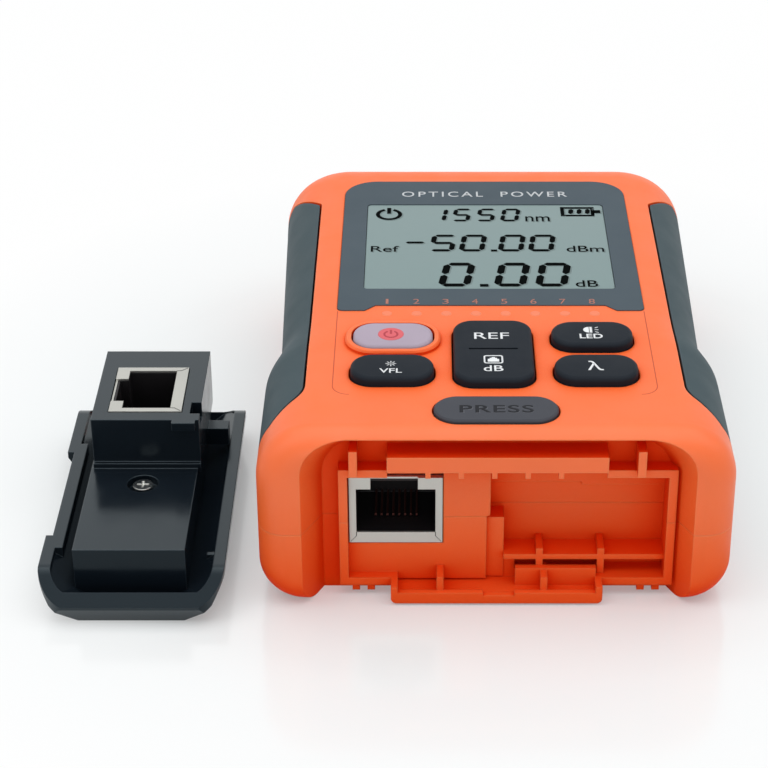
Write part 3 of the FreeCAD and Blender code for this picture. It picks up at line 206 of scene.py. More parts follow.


# what a look uses where it says nothing else
# the edge colour is part wear, part painted highlight on the edges
common = {"cloudScale": 60, "cloudShade": 0.93, "grainScale": 4500, "grainStrength": 0.15,
          "grainHeight": 0.02, "glossScale": 180, "glossSpread": 0.05,
          "edgeRadius": 0.3, "edgeColour": None, "edgeAmount": 0.5, "edgeTurn": (0.985, 0.86),
          # deep colour, reach and ranges: painted shade in hollows
          "deepColour": None, "deepRange": (0.32, 0.92), "deepSheen": (0.02, 0.5),
          "deepSheenRange": (0.68, 0.97), "glance": None, "glanceRange": (0.12, 0.5),
          "shader": {}}


def moulded(name, ownLook):
    # plastic, rubber or plated metal: grain in the surface, uneven gloss and, where the look
    # asks for them, paler edges that are part wear and part painted highlight, and painted
    # shade in hollows
    look = {**common, **ownLook}
    material, tree, shader = plain(name)
    coordinate = tree.nodes.new("ShaderNodeTexCoord")
    cloud = noise(tree, coordinate, look["cloudScale"], 3.0)
    grain = noise(tree, coordinate, look["grainScale"], 2.0)
    gloss = noise(tree, coordinate, look["glossScale"], 4.0)
    rounding = tree.nodes.new("ShaderNodeBevel")
    rounding.samples = nodeSamples
    rounding.inputs["Radius"].default_value = look["edgeRadius"] * mm

    colour = blended(tree, ranged(tree, cloud, 0, 1), look["colour"],
                     tuple(channel * look["cloudShade"] for channel in look["colour"]))
    # paler edges: part wear, part painted highlight
    if look["edgeColour"]:
        colour = blended(tree, rubbedAndHighlitEdges(tree, rounding, look), colour, look["edgeColour"])
    # painted shade in hollows and crevices
    if look["deepColour"]:
        colour = paintedHollowShade(tree, shader, colour, look)
    if look["glance"]:
        glancing(tree, shader, look)
    join(tree, colour, "Result", shader, "Base Color")

    rough = ranged(tree, gloss, look["roughness"] - look["glossSpread"],
                   look["roughness"] + look["glossSpread"])
    join(tree, rough, 0, shader, "Roughness")
    bump = tree.nodes.new("ShaderNodeBump")
    bump.inputs["Strength"].default_value = look["grainStrength"]
    bump.inputs["Distance"].default_value = look["grainHeight"] * mm
    join(tree, grain, 0, bump, "Height")
    join(tree, rounding, "Normal", bump, "Normal")
    join(tree, bump, "Normal", shader, "Normal")
    for socket, value in look["shader"].items():
        shader.inputs[socket].default_value = value
    return material


# the paler edge colours of the shell, grip and remote are part wear, part painted highlight
looks = {
    "orange_shell": {"colour": (0.885, 0.150, 0.032), "roughness": 0.45, "edgeRadius": 0.45,
                     "edgeColour": (0.98, 0.30, 0.10), "cloudShade": 0.96,
                     # deep colour: painted shade in the shell's hollows
                     "deepColour": (0.76, 0.040, 0.002), "deepReach": 24,
                     "shader": {"IOR": 1.5, "Subsurface Weight": 0.06,
                                "Subsurface Radius": (0.004, 0.001, 0.0004),
                                "Subsurface Scale": 0.5}},
    "grip_rubber": {"colour": (0.046, 0.070, 0.080), "roughness": 0.62, "edgeRadius": 0.5,
                    "edgeColour": (0.09, 0.125, 0.14), "grainStrength": 0.35,
                    "grainScale": 3000, "shader": {"Specular IOR Level": 0.2}},
    "bezel": {"colour": (0.071, 0.094, 0.112), "roughness": 0.50, "edgeRadius": 0.15,
              "grainStrength": 0.2, "shader": {"Specular IOR Level": 0.06}},
    "lcd": {"colour": (0.208, 0.280, 0.280), "roughness": 0.30, "grainStrength": 0.02,
            "glossSpread": 0.01, "cloudShade": 0.995, "cloudScale": 20,
            "shader": {"Specular IOR Level": 0.08}},
    "white_plastic": {"colour": (0.75, 0.75, 0.72), "roughness": 0.5},
    "board": {"colour": (0.02, 0.14, 0.05), "roughness": 0.35},
    "key_rubber": {"colour": (0.011, 0.015, 0.021), "roughness": 0.50, "edgeRadius": 0.2,
                   "grainStrength": 0.3, "shader": {"Specular IOR Level": 0.08}},
    "power_key": {"colour": (0.395, 0.335, 0.41), "roughness": 0.45, "grainStrength": 0.2,
                  "shader": {"Specular IOR Level": 0.12}},
    "button_plastic": {"colour": (0.056, 0.060, 0.072), "roughness": 0.5,
                       "grainStrength": 0.3, "shader": {"Specular IOR Level": 0.1}},
    "lamp": {"colour": (0.84, 0.20, 0.075), "roughness": 0.4,
             "shader": {"Specular IOR Level": 0.2}},
    "shield": {"colour": (0.50, 0.50, 0.465), "roughness": 0.34, "edgeRadius": 0.05,
               "grainStrength": 0.03, "glossSpread": 0.03, "shader": {"Metallic": 0.75}},
    "jack_insert": {"colour": (0.008, 0.007, 0.008), "roughness": 0.4,
                    "shader": {"Specular IOR Level": 0.3}},
    "gold": {"colour": (0.12, 0.040, 0.032), "roughness": 0.35, "shader": {"Metallic": 0.7}},
    "port_metal": {"colour": (0.62, 0.62, 0.60), "roughness": 0.22,
                   "shader": {"Metallic": 1.0}},
    "cap_rubber": {"colour": (0.016, 0.018, 0.020), "roughness": 0.55, "edgeRadius": 0.15,
                   "shader": {"Specular IOR Level": 0.3}},
    "cell": {"colour": (0.10, 0.13, 0.20), "roughness": 0.3},
    "screw_steel": {"colour": (0.72, 0.72, 0.70), "roughness": 0.22, "edgeRadius": 0.15,
                    "shader": {"Metallic": 1.0}},
    "remote_plastic": {"colour": (0.005, 0.008, 0.012), "roughness": 0.20, "edgeRadius": 0.3,
                       "edgeColour": (0.040, 0.052, 0.064), "grainStrength": 0.03,
                       "glossSpread": 0.03, "cloudShade": 0.99, "glance": (0.14, 0.60),
                       "shader": {"IOR": 1.5, "Specular Tint": (0.74, 0.93, 1.0, 1)}},
    "lampWindow": {"colour": (0.84, 0.19, 0.075), "roughness": 0.35, "grainStrength": 0.02},
    "torchClear": {"colour": (0.72, 0.72, 0.66), "roughness": 0.12, "grainStrength": 0.02,
                   "glossSpread": 0.03},
    "lcdInk": {"colour": (0.003, 0.004, 0.004), "roughness": 0.5, "grainStrength": 0.02,
               "shader": {"IOR": 1.05, "Specular IOR Level": 0.1}},
    # painted shadow of the display marks
    "lcdShade": {"colour": (0.152, 0.206, 0.206), "roughness": 0.3, "grainStrength": 0.02,
                 "shader": {"Specular IOR Level": 0.15}},
    "seamDark": {"colour": (0.012, 0.011, 0.010), "roughness": 0.7},
    "printGrey": {"colour": (0.56, 0.59, 0.61), "roughness": 0.5},
    "printOrange": {"colour": (0.40, 0.145, 0.10), "roughness": 0.5},
    "seamOrange": {"colour": (0.50, 0.060, 0.012), "roughness": 0.55},
    "printWhite": {"colour": (0.80, 0.83, 0.85), "roughness": 0.5},
    "powerRed": {"colour": (0.64, 0.095, 0.115), "roughness": 0.5},
    "powerInk": {"colour": (0.42, 0.02, 0.04), "roughness": 0.5},
    "buttonInk": {"colour": (0.018, 0.019, 0.023), "roughness": 0.6,
                  "shader": {"Specular IOR Level": 0.1}},
    # painted highlight on the lit edge of the button's sunk letters
    "buttonEdge": {"colour": (0.105, 0.110, 0.126), "roughness": 0.6,
                   "shader": {"Specular IOR Level": 0.1}},
}
materials = {slot: moulded(slot, look) for slot, look in looks.items()}
print("stage: materials", len(materials))

slotOf = {part["node"]: part["material_slot"] for part in frame["record"]["subparts"]}
for name, piece in frame["nodes"].items():
    piece.data.materials.clear()
    piece.data.materials.append(materials[slotOf[name]])

lift = 0.003                    # print lies this far above its surface, in mm
printThick = 0.02               # and stands this high
filmThick = 0.008               # or this high on the shell's face
pointShare = 0.48               # how much of a bar's width its pointed ends take


def boxInMm(node):
    return tuple(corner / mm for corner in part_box(node))


def frameTop(node):
    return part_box(node)[1].z / mm + lift


def dress(piece, look, body="root", *stoodFor):
    piece.data.materials.clear()
    piece.data.materials.append(materials[look])
    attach(piece, body)
    if stoodFor:
        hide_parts(*stoodFor)
    return piece


# display: lens, reading and signs, and a painted shadow of the marks

def flat(name, low, high, z, thick=printThick):
    # a thin plate given by two corners in mm
    return block(name, [(low[0] + high[0]) / 2 * mm, (low[1] + high[1]) / 2 * mm,
                        (z + thick / 2) * mm],
                 [(high[0] - low[0]) * mm, (high[1] - low[1]) * mm, thick * mm])


def turned(name, centre, size, angle, z):
    # a thin bar with pointed ends, turned about its own centre
    piece = block(name, [centre[0] * mm, centre[1] * mm, (z + printThick / 2) * mm],
                  [size[0] * mm, size[1] * mm, printThick * mm], (0, 0, angle))
    bevelEdges(piece, min(size) * pointShare * mm, 1,
               lambda a, b: abs(a.z - b.z) > printThick * mm / 2)
    return piece


def washer(name, centre, radius, width, z, thick=printThick, gap=0.0, vertices=48):
    # a flat ring, open at its top by the angle of the gap; width None gives a full disc
    bpy.ops.mesh.primitive_circle_add(vertices=vertices, radius=radius * mm, fill_type="NGON",
                                      location=[centre[0] * mm, centre[1] * mm, z * mm])
    piece = settle(bpy.context.object, name)
    if width:
        editSelect(piece, "FACE", lambda spot, normal: True)
        bpy.ops.mesh.inset(thickness=width * mm)
        bpy.ops.mesh.delete(type="FACE")
        leaveEdit()
    if gap:
        editSelect(piece, "FACE", lambda spot, normal: abs(math.atan2(
            spot.x - centre[0] * mm, spot.y - centre[1] * mm)) < gap)
        bpy.ops.mesh.delete(type="FACE")
        leaveEdit()
    return thicken(piece, thick)


def border(name, low, high, width, z, corner, thick=printThick, steps=6):
    # a rounded rectangle drawn as a line
    bpy.ops.mesh.primitive_plane_add(
        size=1, location=[(low[0] + high[0]) / 2 * mm, (low[1] + high[1]) / 2 * mm, z * mm])
    piece = bpy.context.object
    piece.scale = [(high[0] - low[0]) * mm, (high[1] - low[1]) * mm, 1]
    piece = settle(piece, name)
    editSelect(piece, "FACE", lambda spot, normal: True)
    bpy.ops.mesh.bevel(offset=corner * mm, segments=steps, affect="VERTICES")
    bpy.ops.mesh.select_all(action="SELECT")
    bpy.ops.mesh.inset(thickness=width * mm)
    bpy.ops.mesh.delete(type="FACE")
    leaveEdit()
    return thicken(piece, thick)


def thicken(piece, thick):
    pick(piece)
    solid = piece.modifiers.new("thick", "SOLIDIFY")
    solid.thickness = thick * mm
    solid.offset = 1
    bpy.ops.object.modifier_apply(modifier=solid.name)
    return piece


def lettering(name, z, says, low, high, weight=0.0, spacing=1.0, thick=printThick):
    # words in the plain built-in face, fitted to a rectangle in mm
    bpy.ops.object.text_add(location=(0, 0, 0))
    piece = bpy.context.object
    piece.data.body = says
    piece.data.space_character = spacing
    piece.data.offset = weight
    piece.data.resolution_u = 6
    piece.data.extrude = 0.01
    pick(piece)
    bpy.ops.object.convert(target="MESH")
    piece = bpy.context.object
    corners = [Vector(corner) for corner in piece.bound_box]
    small = [min(corner[i] for corner in corners) for i in range(3)]
    large = [max(corner[i] for corner in corners) for i in range(3)]
    span = [b - a for a, b in zip(small, large)]
    piece.scale = [(high[0] - low[0]) * mm / span[0], (high[1] - low[1]) * mm / span[1],
                   thick * mm / span[2]]
    piece.location = [low[0] * mm - small[0] * piece.scale[0],
                      low[1] * mm - small[1] * piece.scale[1],
                      z * mm - small[2] * piece.scale[2]]
    return settle(piece, name)


def joined(name, pieces):
    deselectAll()
    for piece in pieces:
        piece.select_set(True)
    bpy.context.view_layer.objects.active = pieces[0]
    bpy.ops.object.join()
    return settle(bpy.context.object, name)


segments = {"0": "abcdef", "1": "bc", "5": "acdfg"}
# shares of a digit's stroke
digitForm = {"gap": 0.16, "dotWidth": 1.15, "dotHeight": 0.8, "flatBar": 0.9}


def reading(name, row, z):
    # slanted digits of seven bars; each character has its own left end
    bars = []
    wide, tall, stroke, lean, base = (
        row[key] for key in ("width", "height", "stroke", "lean", "base"))
    angle = -math.atan(lean)
    gap = stroke * digitForm["gap"]
    for character, left in row["characters"]:
        if character == ".":
            bars.append(flat(name + "Dot", (left, base),
                             (left + stroke * digitForm["dotWidth"],
                              base + stroke * digitForm["dotHeight"]), z))
            continue
        across = (left + stroke / 2, left + wide - stroke / 2)
        levels = (stroke / 2, tall / 2, tall - stroke / 2)
        long = across[1] - across[0] - gap
        high = levels[1] - levels[0] - gap
        spots = {"a": (sum(across) / 2, levels[2]), "g": (sum(across) / 2, levels[1]),
                 "d": (sum(across) / 2, levels[0]),
                 "b": (across[1], (levels[1] + levels[2]) / 2),
                 "c": (across[1], (levels[0] + levels[1]) / 2),
                 "f": (across[0], (levels[1] + levels[2]) / 2),
                 "e": (across[0], (levels[0] + levels[1]) / 2)}
        for letter in segments[character]:
            x, y = spots[letter]
            spot = (x + lean * y, base + y)
            if letter in "adg":
                size = (long, stroke * digitForm["flatBar"])
                bars.append(turned(name + letter, spot, size, 0, z))
            else:
                bars.append(turned(name + letter, spot, (stroke, high), angle, z))
    return bars


lens = {"halfWidth": 23.33, "near": -3.43, "far": 33.03, "bottom": 32.86, "top": 34.33,
        "corner": 0.85, "edge": 0.08, "inkLift": 0.002, "shadeShift": (0.25, -0.28, -0.012)}
displayLens = plate("displayLens", (-lens["halfWidth"] * mm, lens["near"] * mm,
                                    lens["bottom"] * mm),
                    (lens["halfWidth"] * mm, lens["far"] * mm, lens["top"] * mm),
                    lens["corner"] * mm, lens["edge"] * mm)
dress(displayLens, "lcd")

screenTop = lens["top"] + lens["inkLift"]
rows = {
    "wavelength": {"base": 25.5, "height": 5.9, "width": 3.6, "stroke": 0.86, "lean": 0.135,
                   "characters": [("1", -11.6), ("5", -6.9), ("5", -2.1), ("0", 2.7)]},
    "reference": {"base": 12.2, "height": 7.4, "width": 4.9, "stroke": 1.05, "lean": 0.12,
                  "characters": [("5", -11.4), ("0", -5.6), (".", 0.65), ("0", 1.9),
                                 ("0", 7.7)]},
    "level": {"base": -2.5, "height": 10.0, "width": 6.0, "stroke": 1.38, "lean": 0.144,
              "characters": [("0", -9.7), (".", -1.75), ("0", 0.7), ("0", 8.4)]},
}
screenWords = {
    "unitWavelength": {"says": "nm", "low": (7.8, 25.5), "high": (12.6, 27.8),
                       "weight": 0.004},
    "wordRef": {"says": "Ref", "low": (-22.4, 12.1), "high": (-17.0, 14.6), "weight": 0.004},
    "unitReference": {"says": "dBm", "low": (15.2, 12.1), "high": (22.4, 14.7),
                      "weight": 0.004},
    "unitLevel": {"says": "dB", "low": (16.1, -2.5), "high": (20.3, 0.1), "weight": 0.006},
}
minus = {"centre": (-13.9, 16.1), "size": (3.6, 0.85)}
powerMark = {"centre": (-19.1, 28.7), "radius": 2.6, "line": 0.8, "gap": 0.42,
             "barLow": (-19.5, 29.0), "barHigh": (-18.7, 31.7)}
battery = {"low": (14.9, 27.8), "high": (21.6, 32.1), "line": 0.72, "corner": 0.15,
           "tipLow": (21.6, 29.25), "tipHigh": (22.8, 30.65), "bars": 3, "bar": (0.95, 2.3),
           "first": 16.95, "pitch": 1.65, "level": 30.0, "lean": -0.12}
marks = []
for name, row in rows.items():
    marks += reading(name, row, screenTop)
marks.append(turned("minus", minus["centre"], minus["size"], 0, screenTop))
for name, word in screenWords.items():
    marks.append(lettering(name, screenTop, **word))
marks += [
    washer("powerRing", powerMark["centre"], powerMark["radius"], powerMark["line"], screenTop,
           gap=powerMark["gap"]),
    flat("powerBar", powerMark["barLow"], powerMark["barHigh"], screenTop),
    border("batteryCase", battery["low"], battery["high"], battery["line"], screenTop,
           battery["corner"]),
    flat("batteryTip", battery["tipLow"], battery["tipHigh"], screenTop)]
for i in range(battery["bars"]):
    centre = (battery["first"] + i * battery["pitch"], battery["level"])
    marks.append(turned(f"batteryBar{i}", centre, battery["bar"], battery["lean"], screenTop))
ink = dress(joined("displayMarks", marks), "lcdInk")
# a darker copy of the marks, shifted aside and down, is a painted shadow on the display
pick(ink)
bpy.ops.object.duplicate()
shade = bpy.context.object
shade.location = [step * mm for step in lens["shadeShift"]]
dress(settle(shade, "displayShade"), "lcdShade")
print("stage: display")

# print on the bezel and the face

bezelTop = frameTop("display_bezel")
heading = {"says": "OPTICAL  POWER", "low": (-16.6, 36.7), "high": (16.6, 39.1),
           "weight": 0.006, "spacing": 1.3}
dress(lettering("bezelHeading", bezelTop, **heading), "printGrey")
numbers = {"count": 8, "first": -18.95, "pitch": 5.37, "low": -9.55, "high": -7.65,
           "width": 1.15, "slimWidth": 0.506}
figures = []
for i in range(numbers["count"]):
    centre = numbers["first"] + i * numbers["pitch"]
    half = numbers["slimWidth" if i == 0 else "width"] / 2      # a figure one is slim
    figures.append(lettering(f"figure{i + 1}", bezelTop, str(i + 1),
                             (centre - half, numbers["low"]),
                             (centre + half, numbers["high"])))
dress(joined("bezelNumbers", figures), "printOrange")

faceTop = 34.3                  # the shell's flat face round the keys, in mm
hairline = {"low": (-28.0, -42.5), "high": (28.0, -6.0), "width": 0.16, "corner": 3.0,
            "kept": 24.5, "top": -12.2}
line = border("overlayEdge", hairline["low"], hairline["high"], hairline["width"], faceTop,
              hairline["corner"], thick=filmThick, steps=10)
editSelect(line, "FACE", lambda spot, normal: abs(spot.x) < hairline["kept"] * mm)
bpy.ops.mesh.delete(type="FACE")
leaveEdit()
cutBeyond(line, (0, hairline["top"] * mm, 0), (0, 1, 0))
dress(line, "seamOrange")

windows = {"count": 8, "radius": 0.92}
low, high = boxInMm("indicator_leds")
half = (high.y - low.y) / 2
pitch = (high.x - low.x - half * 2) / (windows["count"] - 1)
panes = [washer(f"window{i + 1}", (low.x + half + i * pitch, low.y + half),
                windows["radius"], None, faceTop, thick=filmThick, vertices=32)
         for i in range(windows["count"])]
dress(joined("lampWindows", panes), "lampWindow")
print("stage: face print")

# keys with a soft top edge

caps = {"key_power": 3.9, "key_vfl": 3.9, "key_ref_db": 3.6, "key_led": 3.9,
        "key_wavelength": 3.9}          # corner radius of each cap
keyForm = {"flange": 0.8, "flangeThickness": 0.75, "softEdge": 0.85,
           "groove": (8.6, 0.5, 0.7)}
for name, corner in caps.items():
    low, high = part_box(name)
    inner = keyForm["flange"] * mm
    cap = plate(name + "Cap", (low.x + inner, low.y + inner, low.z),
                (high.x - inner, high.y - inner, high.z), corner * mm,
                keyForm["softEdge"] * mm, 14, 7)
    if name == "key_ref_db":
        # the groove that parts its two words
        groove = block("grooveTool", (0, (low.y + high.y) / 2, high.z),
                       [side * mm for side in keyForm["groove"]])
        pick(cap)
        carve = cap.modifiers.new("groove", "BOOLEAN")
        carve.operation = "DIFFERENCE"
        carve.solver = "EXACT"
        carve.object = groove
        bpy.ops.object.modifier_apply(modifier=carve.name)
        bpy.data.objects.remove(groove)
    foot = plate(name + "Foot", tuple(low),
                 (high.x, high.y, low.z + keyForm["flangeThickness"] * mm),
                 corner * mm + inner, 0)
    key = joined(name + "Cap", [cap, foot])
    smooth(key)
    dress(key, slotOf[name], name, name)
print("stage: keys")

# signs on the keys

keyWords = {
    "wordVfl": {"says": "VFL", "low": (-19.9, -37.8), "high": (-15.95, -36.25),
                "weight": 0.012},
    "wordRefKey": {"says": "REF", "low": (-3.3, -25.6), "high": (2.9, -23.3),
                   "weight": 0.002},
    "wordDb": {"says": "dB", "low": (-1.85, -37.2), "high": (1.55, -35.2), "weight": 0.006},
    "wordLed": {"says": "LED", "low": (15.4, -25.4), "high": (19.5, -23.75),
                "weight": 0.02},
    "signWave": {"says": "λ", "low": (16.1, -36.9), "high": (18.9, -33.6), "weight": 0.004},
}


def keyWord(name, z):
    return lettering(name, z, **keyWords[name])


vflTop = frameTop("key_vfl")
star = {"x": -17.92, "y": -34.55, "rays": 8, "reach": 0.55, "ray": (0.17, 0.8), "heart": 0.32}
burst = []
for i in range(star["rays"]):
    angle = i * 2 * math.pi / star["rays"]
    burst.append(turned(f"ray{i}", (star["x"] + star["reach"] * math.sin(angle),
                                    star["y"] + star["reach"] * math.cos(angle)),
                        star["ray"], -angle, vflTop))
burst.append(washer("burstHeart", (star["x"], star["y"]), star["heart"], None, vflTop,
                    vertices=16))
burst.append(keyWord("wordVfl", vflTop))
dress(joined("signVfl", burst), "printWhite", "key_vfl")

refTop = frameTop("key_ref_db")
socket = {"caseLow": (-1.8, -34.5), "caseHigh": (1.6, -31.6), "line": 0.3, "corner": 0.55,
          "bodyLow": (-1.1, -33.9), "bodyHigh": (0.9, -32.9),
          "neckLow": (-0.75, -32.9), "neckHigh": (0.55, -32.55),
          "latchLow": (-0.4, -32.55), "latchHigh": (0.2, -32.25)}
plug = [border("plugCase", socket["caseLow"], socket["caseHigh"], socket["line"], refTop,
               socket["corner"])]
for step in ("body", "neck", "latch"):
    plug.append(flat("plug" + step.capitalize(), socket[step + "Low"], socket[step + "High"],
                     refTop))
plug += [keyWord("wordRefKey", refTop), keyWord("wordDb", refTop)]
dress(joined("signRef", plug), "printWhite", "key_ref_db")

ledTop = frameTop("key_led")
torch = {"x": 17.2, "y": -22.25, "radius": 1.05, "cut": 17.3, "stemLow": (17.3, -23.3),
         "stemHigh": (17.75, -21.2), "rayX": 18.55, "ray": (0.75, 0.2),
         "rays": ((0.85, 0.5), (0, 0), (-0.85, -0.5))}      # step along Y and lean of each
ledMarks = [washer("torchHead", (torch["x"], torch["y"]), torch["radius"], None, ledTop,
                   vertices=32), keyWord("wordLed", ledTop)]
cutBeyond(ledMarks[0], (torch["cut"] * mm, 0, 0), (1, 0, 0))
ledMarks.append(flat("torchStem", torch["stemLow"], torch["stemHigh"], ledTop))
for i, (step, lean) in enumerate(torch["rays"]):
    ledMarks.append(turned(f"torchRay{i}", (torch["rayX"], torch["y"] + step), torch["ray"],
                           lean, ledTop))
dress(joined("signLed", ledMarks), "printWhite", "key_led")

wave = keyWord("signWave", frameTop("key_wavelength"))
dress(wave, "printWhite", "key_wavelength")

powerTop = frameTop("key_power")
power = {"disc": (-18.05, -23.3), "discRadius": 2.3, "ring": (-18.05, -23.35),
         "ringRadius": 1.35, "line": 0.36, "gap": 0.5, "barLow": (-18.25, -23.2),
         "barHigh": (-17.85, -21.75), "thick": 0.015, "signLift": 0.016}
disc = washer("powerDisc", power["disc"], power["discRadius"], None, powerTop,
              thick=power["thick"])
dress(disc, "powerRed", "key_power")
powerTop += power["signLift"]           # the sign lies on the disc
sign = [washer("powerSignRing", power["ring"], power["ringRadius"], power["line"], powerTop,
               gap=power["gap"], thick=power["thick"]),
        flat("powerSignBar", power["barLow"], power["barHigh"], powerTop,
             thick=power["thick"])]
dress(joined("powerSign", sign), "powerInk", "key_power")

# the button's word, over a paler copy that is a painted highlight on the lit edge of sunk
# letters
buttonTop = frameTop("release_button")
buttonWords = {
    "buttonShine": {"says": "PRESS", "low": (-6.1, -49.75), "high": (6.35, -47.25),
                    "weight": 0.03, "spacing": 1.12, "thick": 0.01},
    "buttonWord": {"says": "PRESS", "low": (-6.2, -49.6), "high": (6.3, -47.1),
                   "weight": 0.02, "spacing": 1.12},
}
for name, look in (("buttonShine", "buttonEdge"), ("buttonWord", "buttonInk")):
    dress(lettering(name, buttonTop, **buttonWords[name]), look, "release_button")
print("stage: key signs")

# dust caps with ribs, and the torch's lens

def alongY(name, centre, radius, low, high):
    # a drum that lies along Y between two places
    bpy.ops.mesh.primitive_cylinder_add(
        vertices=64, radius=radius, depth=high - low, rotation=(math.pi / 2, 0, 0),
        location=(centre.x, (low + high) / 2, centre.z))
    return settle(bpy.context.object, name)


def softEnd(piece, place, offset, segments):
    bevelEdges(piece, offset * mm, segments, lambda a, b: min(a.y, b.y) > place - sliver)


capForm = {"rib": 0.3, "ribs": 18, "ribWidth": 0.5, "ribStart": 1.0, "ribEnd": 3.2,
           "ribSeat": 1.1, "ribSoft": 0.4, "softEnd": 0.8, "bead": 0.42, "wall": 1.3,
           "end": 1.5}                  # seat and soft are shares of the rib's height
for name in ("opm_cap", "vfl_cap"):
    low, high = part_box(name)
    centre = (low + high) / 2
    radius = (high.x - low.x) / 2
    rib = capForm["rib"] * mm
    cup = alongY(name + "Cup", centre, radius - rib, low.y, high.y)
    softEnd(cup, high.y, capForm["softEnd"], 6)
    editSelect(cup, "FACE", lambda spot, normal: normal.y < -0.9)
    bpy.ops.mesh.inset(thickness=capForm["wall"] * mm - rib)
    bpy.ops.mesh.extrude_region_move(TRANSFORM_OT_translate={
        "value": (0, high.y - low.y - capForm["end"] * mm, 0)})
    leaveEdit()
    bead = capForm["bead"] * mm
    bpy.ops.mesh.primitive_torus_add(
        major_radius=radius - bead, minor_radius=bead, major_segments=64, minor_segments=12,
        location=(centre.x, low.y + bead, centre.z), rotation=(math.pi / 2, 0, 0))
    parts = [cup, settle(bpy.context.object, name + "Bead")]
    start = low.y + capForm["ribStart"] * mm
    end = high.y - capForm["ribEnd"] * mm
    for i in range(capForm["ribs"]):
        angle = i * 2 * math.pi / capForm["ribs"]
        out = radius - rib * capForm["ribSeat"]
        bar = block(f"{name}Rib{i}", (centre.x + out * math.cos(angle), (start + end) / 2,
                                      centre.z + out * math.sin(angle)),
                    (rib * 2, end - start, capForm["ribWidth"] * mm), (0, -angle, 0))
        bevelEdges(bar, rib * capForm["ribSoft"], 2, lambda a, b: True)
        parts.append(bar)
    ribbed = joined(name + "Ribbed", parts)
    smooth(ribbed)
    dress(ribbed, slotOf[name], name, name)

low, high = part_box("torch_led")
centre = (low + high) / 2
torchForm = {"flange": 0.8, "flangeDepth": 1.18, "dome": 0.78}
lensBody = alongY("torchBody", centre, (high.x - low.x) / 2 - torchForm["flange"] * mm,
                  low.y, high.y)
softEnd(lensBody, high.y, torchForm["dome"], 8)
rim = alongY("torchRim", centre, (high.x - low.x) / 2, low.y,
             low.y + torchForm["flangeDepth"] * mm)
torchLens = joined("torchLens", [lensBody, rim])
smooth(torchLens)
dress(torchLens, "torchClear", "root", "torch_led")
print("stage: tail end")

# seams of the jack shields

fold = {"side": 1.2, "foot": 2.1, "straight": 0.75, "corner": 0.2, "width": 0.13,
        "depth": 0.05, "overrun": 0.4}    # the overrun is a share of the width


def seam(name, start, end):
    # a thin dark line between two places in mm
    first, last = Vector(start) * mm, Vector(end) * mm
    long = (last - first).length + fold["width"] * mm * fold["overrun"]
    return block(name, (first + last) / 2, (fold["width"] * mm, fold["depth"] * mm, long),
                 (last - first).to_track_quat("Z", "Y").to_euler())


low, high = boxInMm("jack_shield")
folds = []
for word, edge, way in (("left", low.x, 1), ("right", high.x, -1)):
    inner = edge + way * fold["side"]
    knee = low.z + fold["foot"] - fold["straight"]
    folds.append(seam("fold" + word, (inner, low.y, low.z + fold["foot"]),
                      (inner, low.y, knee)))
    folds.append(seam("mitre" + word, (inner, low.y, knee),
                      (edge + way * fold["corner"], low.y, low.z + fold["corner"])))
dress(joined("jackFolds", folds), "seamDark")

low, high = boxInMm("remote_jack_shield")
folds = []
for word, edge, way in (("near", low.y, 1), ("far", high.y, -1)):
    inner = edge + way * fold["side"]
    knee = high.x - fold["foot"] + fold["straight"]
    folds.append(seam("fold" + word, (high.x - fold["foot"], inner, high.z),
                      (knee, inner, high.z)))
    folds.append(seam("mitre" + word, (knee, inner, high.z),
                      (high.x - fold["corner"], edge + way * fold["corner"], high.z)))
dress(joined("remoteJackFolds", folds), "seamDark")
print("stage: seams")

# floor, lights and camera

room = {"floorSize": 6.0, "floorColour": (0.77, 0.81, 0.815), "floorRoughness": 0.14,
        "floorSpecular": 1.0, "glow": (0.25, 0.97), "glowRange": (0.078, 0.128),
        "worldStrength": 0.42}


def seenRay(tree):
    # one for rays that show the background, straight or by gloss or glass, else nought
    rays = tree.nodes.new("ShaderNodeLightPath")
    last, output = rays, "Is Camera Ray"
    for kind in ("Is Glossy Ray", "Is Transmission Ray"):
        either = tree.nodes.new("ShaderNodeMath")
        either.operation = "MAXIMUM"
        join(tree, last, output, either, 0)
        join(tree, rays, kind, either, 1)
        last, output = either, 0
    return last


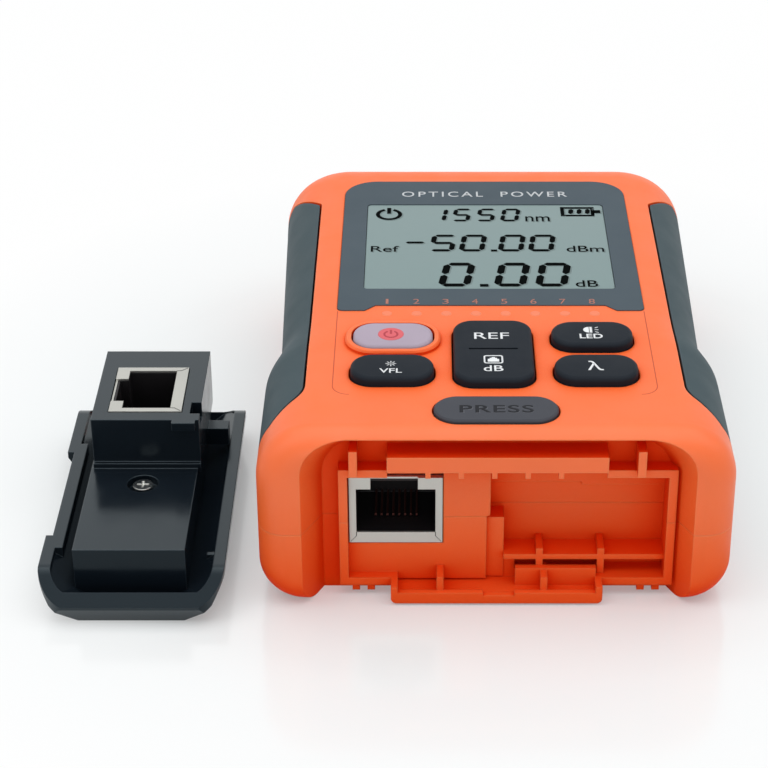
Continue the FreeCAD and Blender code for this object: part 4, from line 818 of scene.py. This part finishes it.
# the floor glows white to the eye, more so away from the middle, and takes the shadows
bpy.ops.mesh.primitive_plane_add(size=room["floorSize"])
floor = settle(bpy.context.object, "studioFloor")
floorMaterial, tree, shader = plain("studioFloor")
shader.inputs["Base Color"].default_value = (*room["floorColour"], 1)
shader.inputs["Roughness"].default_value = room["floorRoughness"]
shader.inputs["Specular IOR Level"].default_value = room["floorSpecular"]
coordinate = tree.nodes.new("ShaderNodeTexCoord")
away = tree.nodes.new("ShaderNodeVectorMath")
away.operation = "LENGTH"
join(tree, coordinate, "Object", away, 0)
share = tree.nodes.new("ShaderNodeMath")
share.operation = "MULTIPLY"
join(tree, seenRay(tree), 0, share, 0)
join(tree, ranged(tree, away, *room["glow"], *room["glowRange"], "Value"), 0, share, 1)
glow = tree.nodes.new("ShaderNodeEmission")
blend = tree.nodes.new("ShaderNodeMixShader")
join(tree, share, 0, blend, 0)
join(tree, shader, 0, blend, 1)
join(tree, glow, 0, blend, 2)
join(tree, blend, 0, tree.nodes["Material Output"], "Surface")
floor.data.materials.append(floorMaterial)

# the world is white where it is seen and dimmer as a source of light
world = bpy.data.worlds.new("studio")
bpy.context.scene.world = world
world.use_nodes = True
tree = world.node_tree
back = tree.nodes["Background"]
back.inputs["Color"].default_value = (1, 1, 1, 1)
join(tree, ranged(tree, seenRay(tree), room["worldStrength"], 1, 0, 1), 0, back, "Strength")

lampAim = Vector((0, 0, 0.02))
lamps = {
    "overhead": {"place": (0.0, -0.02, 0.95), "size": (1.5, 1.2), "power": 9.2},
    "leftPanel": {"place": (-0.9, -0.25, 0.70), "size": (0.5, 0.7), "power": 1.3},
    "rightPanel": {"place": (0.9, -0.15, 0.70), "size": (0.5, 0.7), "power": 1.3},
    "frontFill": {"place": (0.0, -0.95, 0.28), "size": (0.8, 0.4), "power": 1.4},
}
for name, lamp in lamps.items():
    data = bpy.data.lights.new(name, "AREA")
    data.shape = "RECTANGLE"
    data.size, data.size_y = lamp["size"]
    data.energy = lamp["power"]
    light = bpy.data.objects.new(name, data)
    bpy.context.scene.collection.objects.link(light)
    light.location = lamp["place"]
    light.rotation_euler = (lampAim - light.location).to_track_quat("-Z", "Y").to_euler()

view = {"place": (-12.1, -375.2, 226.6), "pitch": 29.76, "lens": 105.6, "shift": -0.0526,
        "nearest": 0.01}
cameraData = bpy.data.cameras.new("camera")
camera = bpy.data.objects.new("camera", cameraData)
bpy.context.scene.collection.objects.link(camera)
camera.location = [value * mm for value in view["place"]]
camera.rotation_euler = (math.radians(90 - view["pitch"]), 0, 0)
cameraData.lens = view["lens"]
cameraData.shift_x = view["shift"]
cameraData.clip_start = view["nearest"]
bpy.context.scene.camera = camera
bpy.context.scene.view_settings.view_transform = "Standard"
print("stage: room and camera")
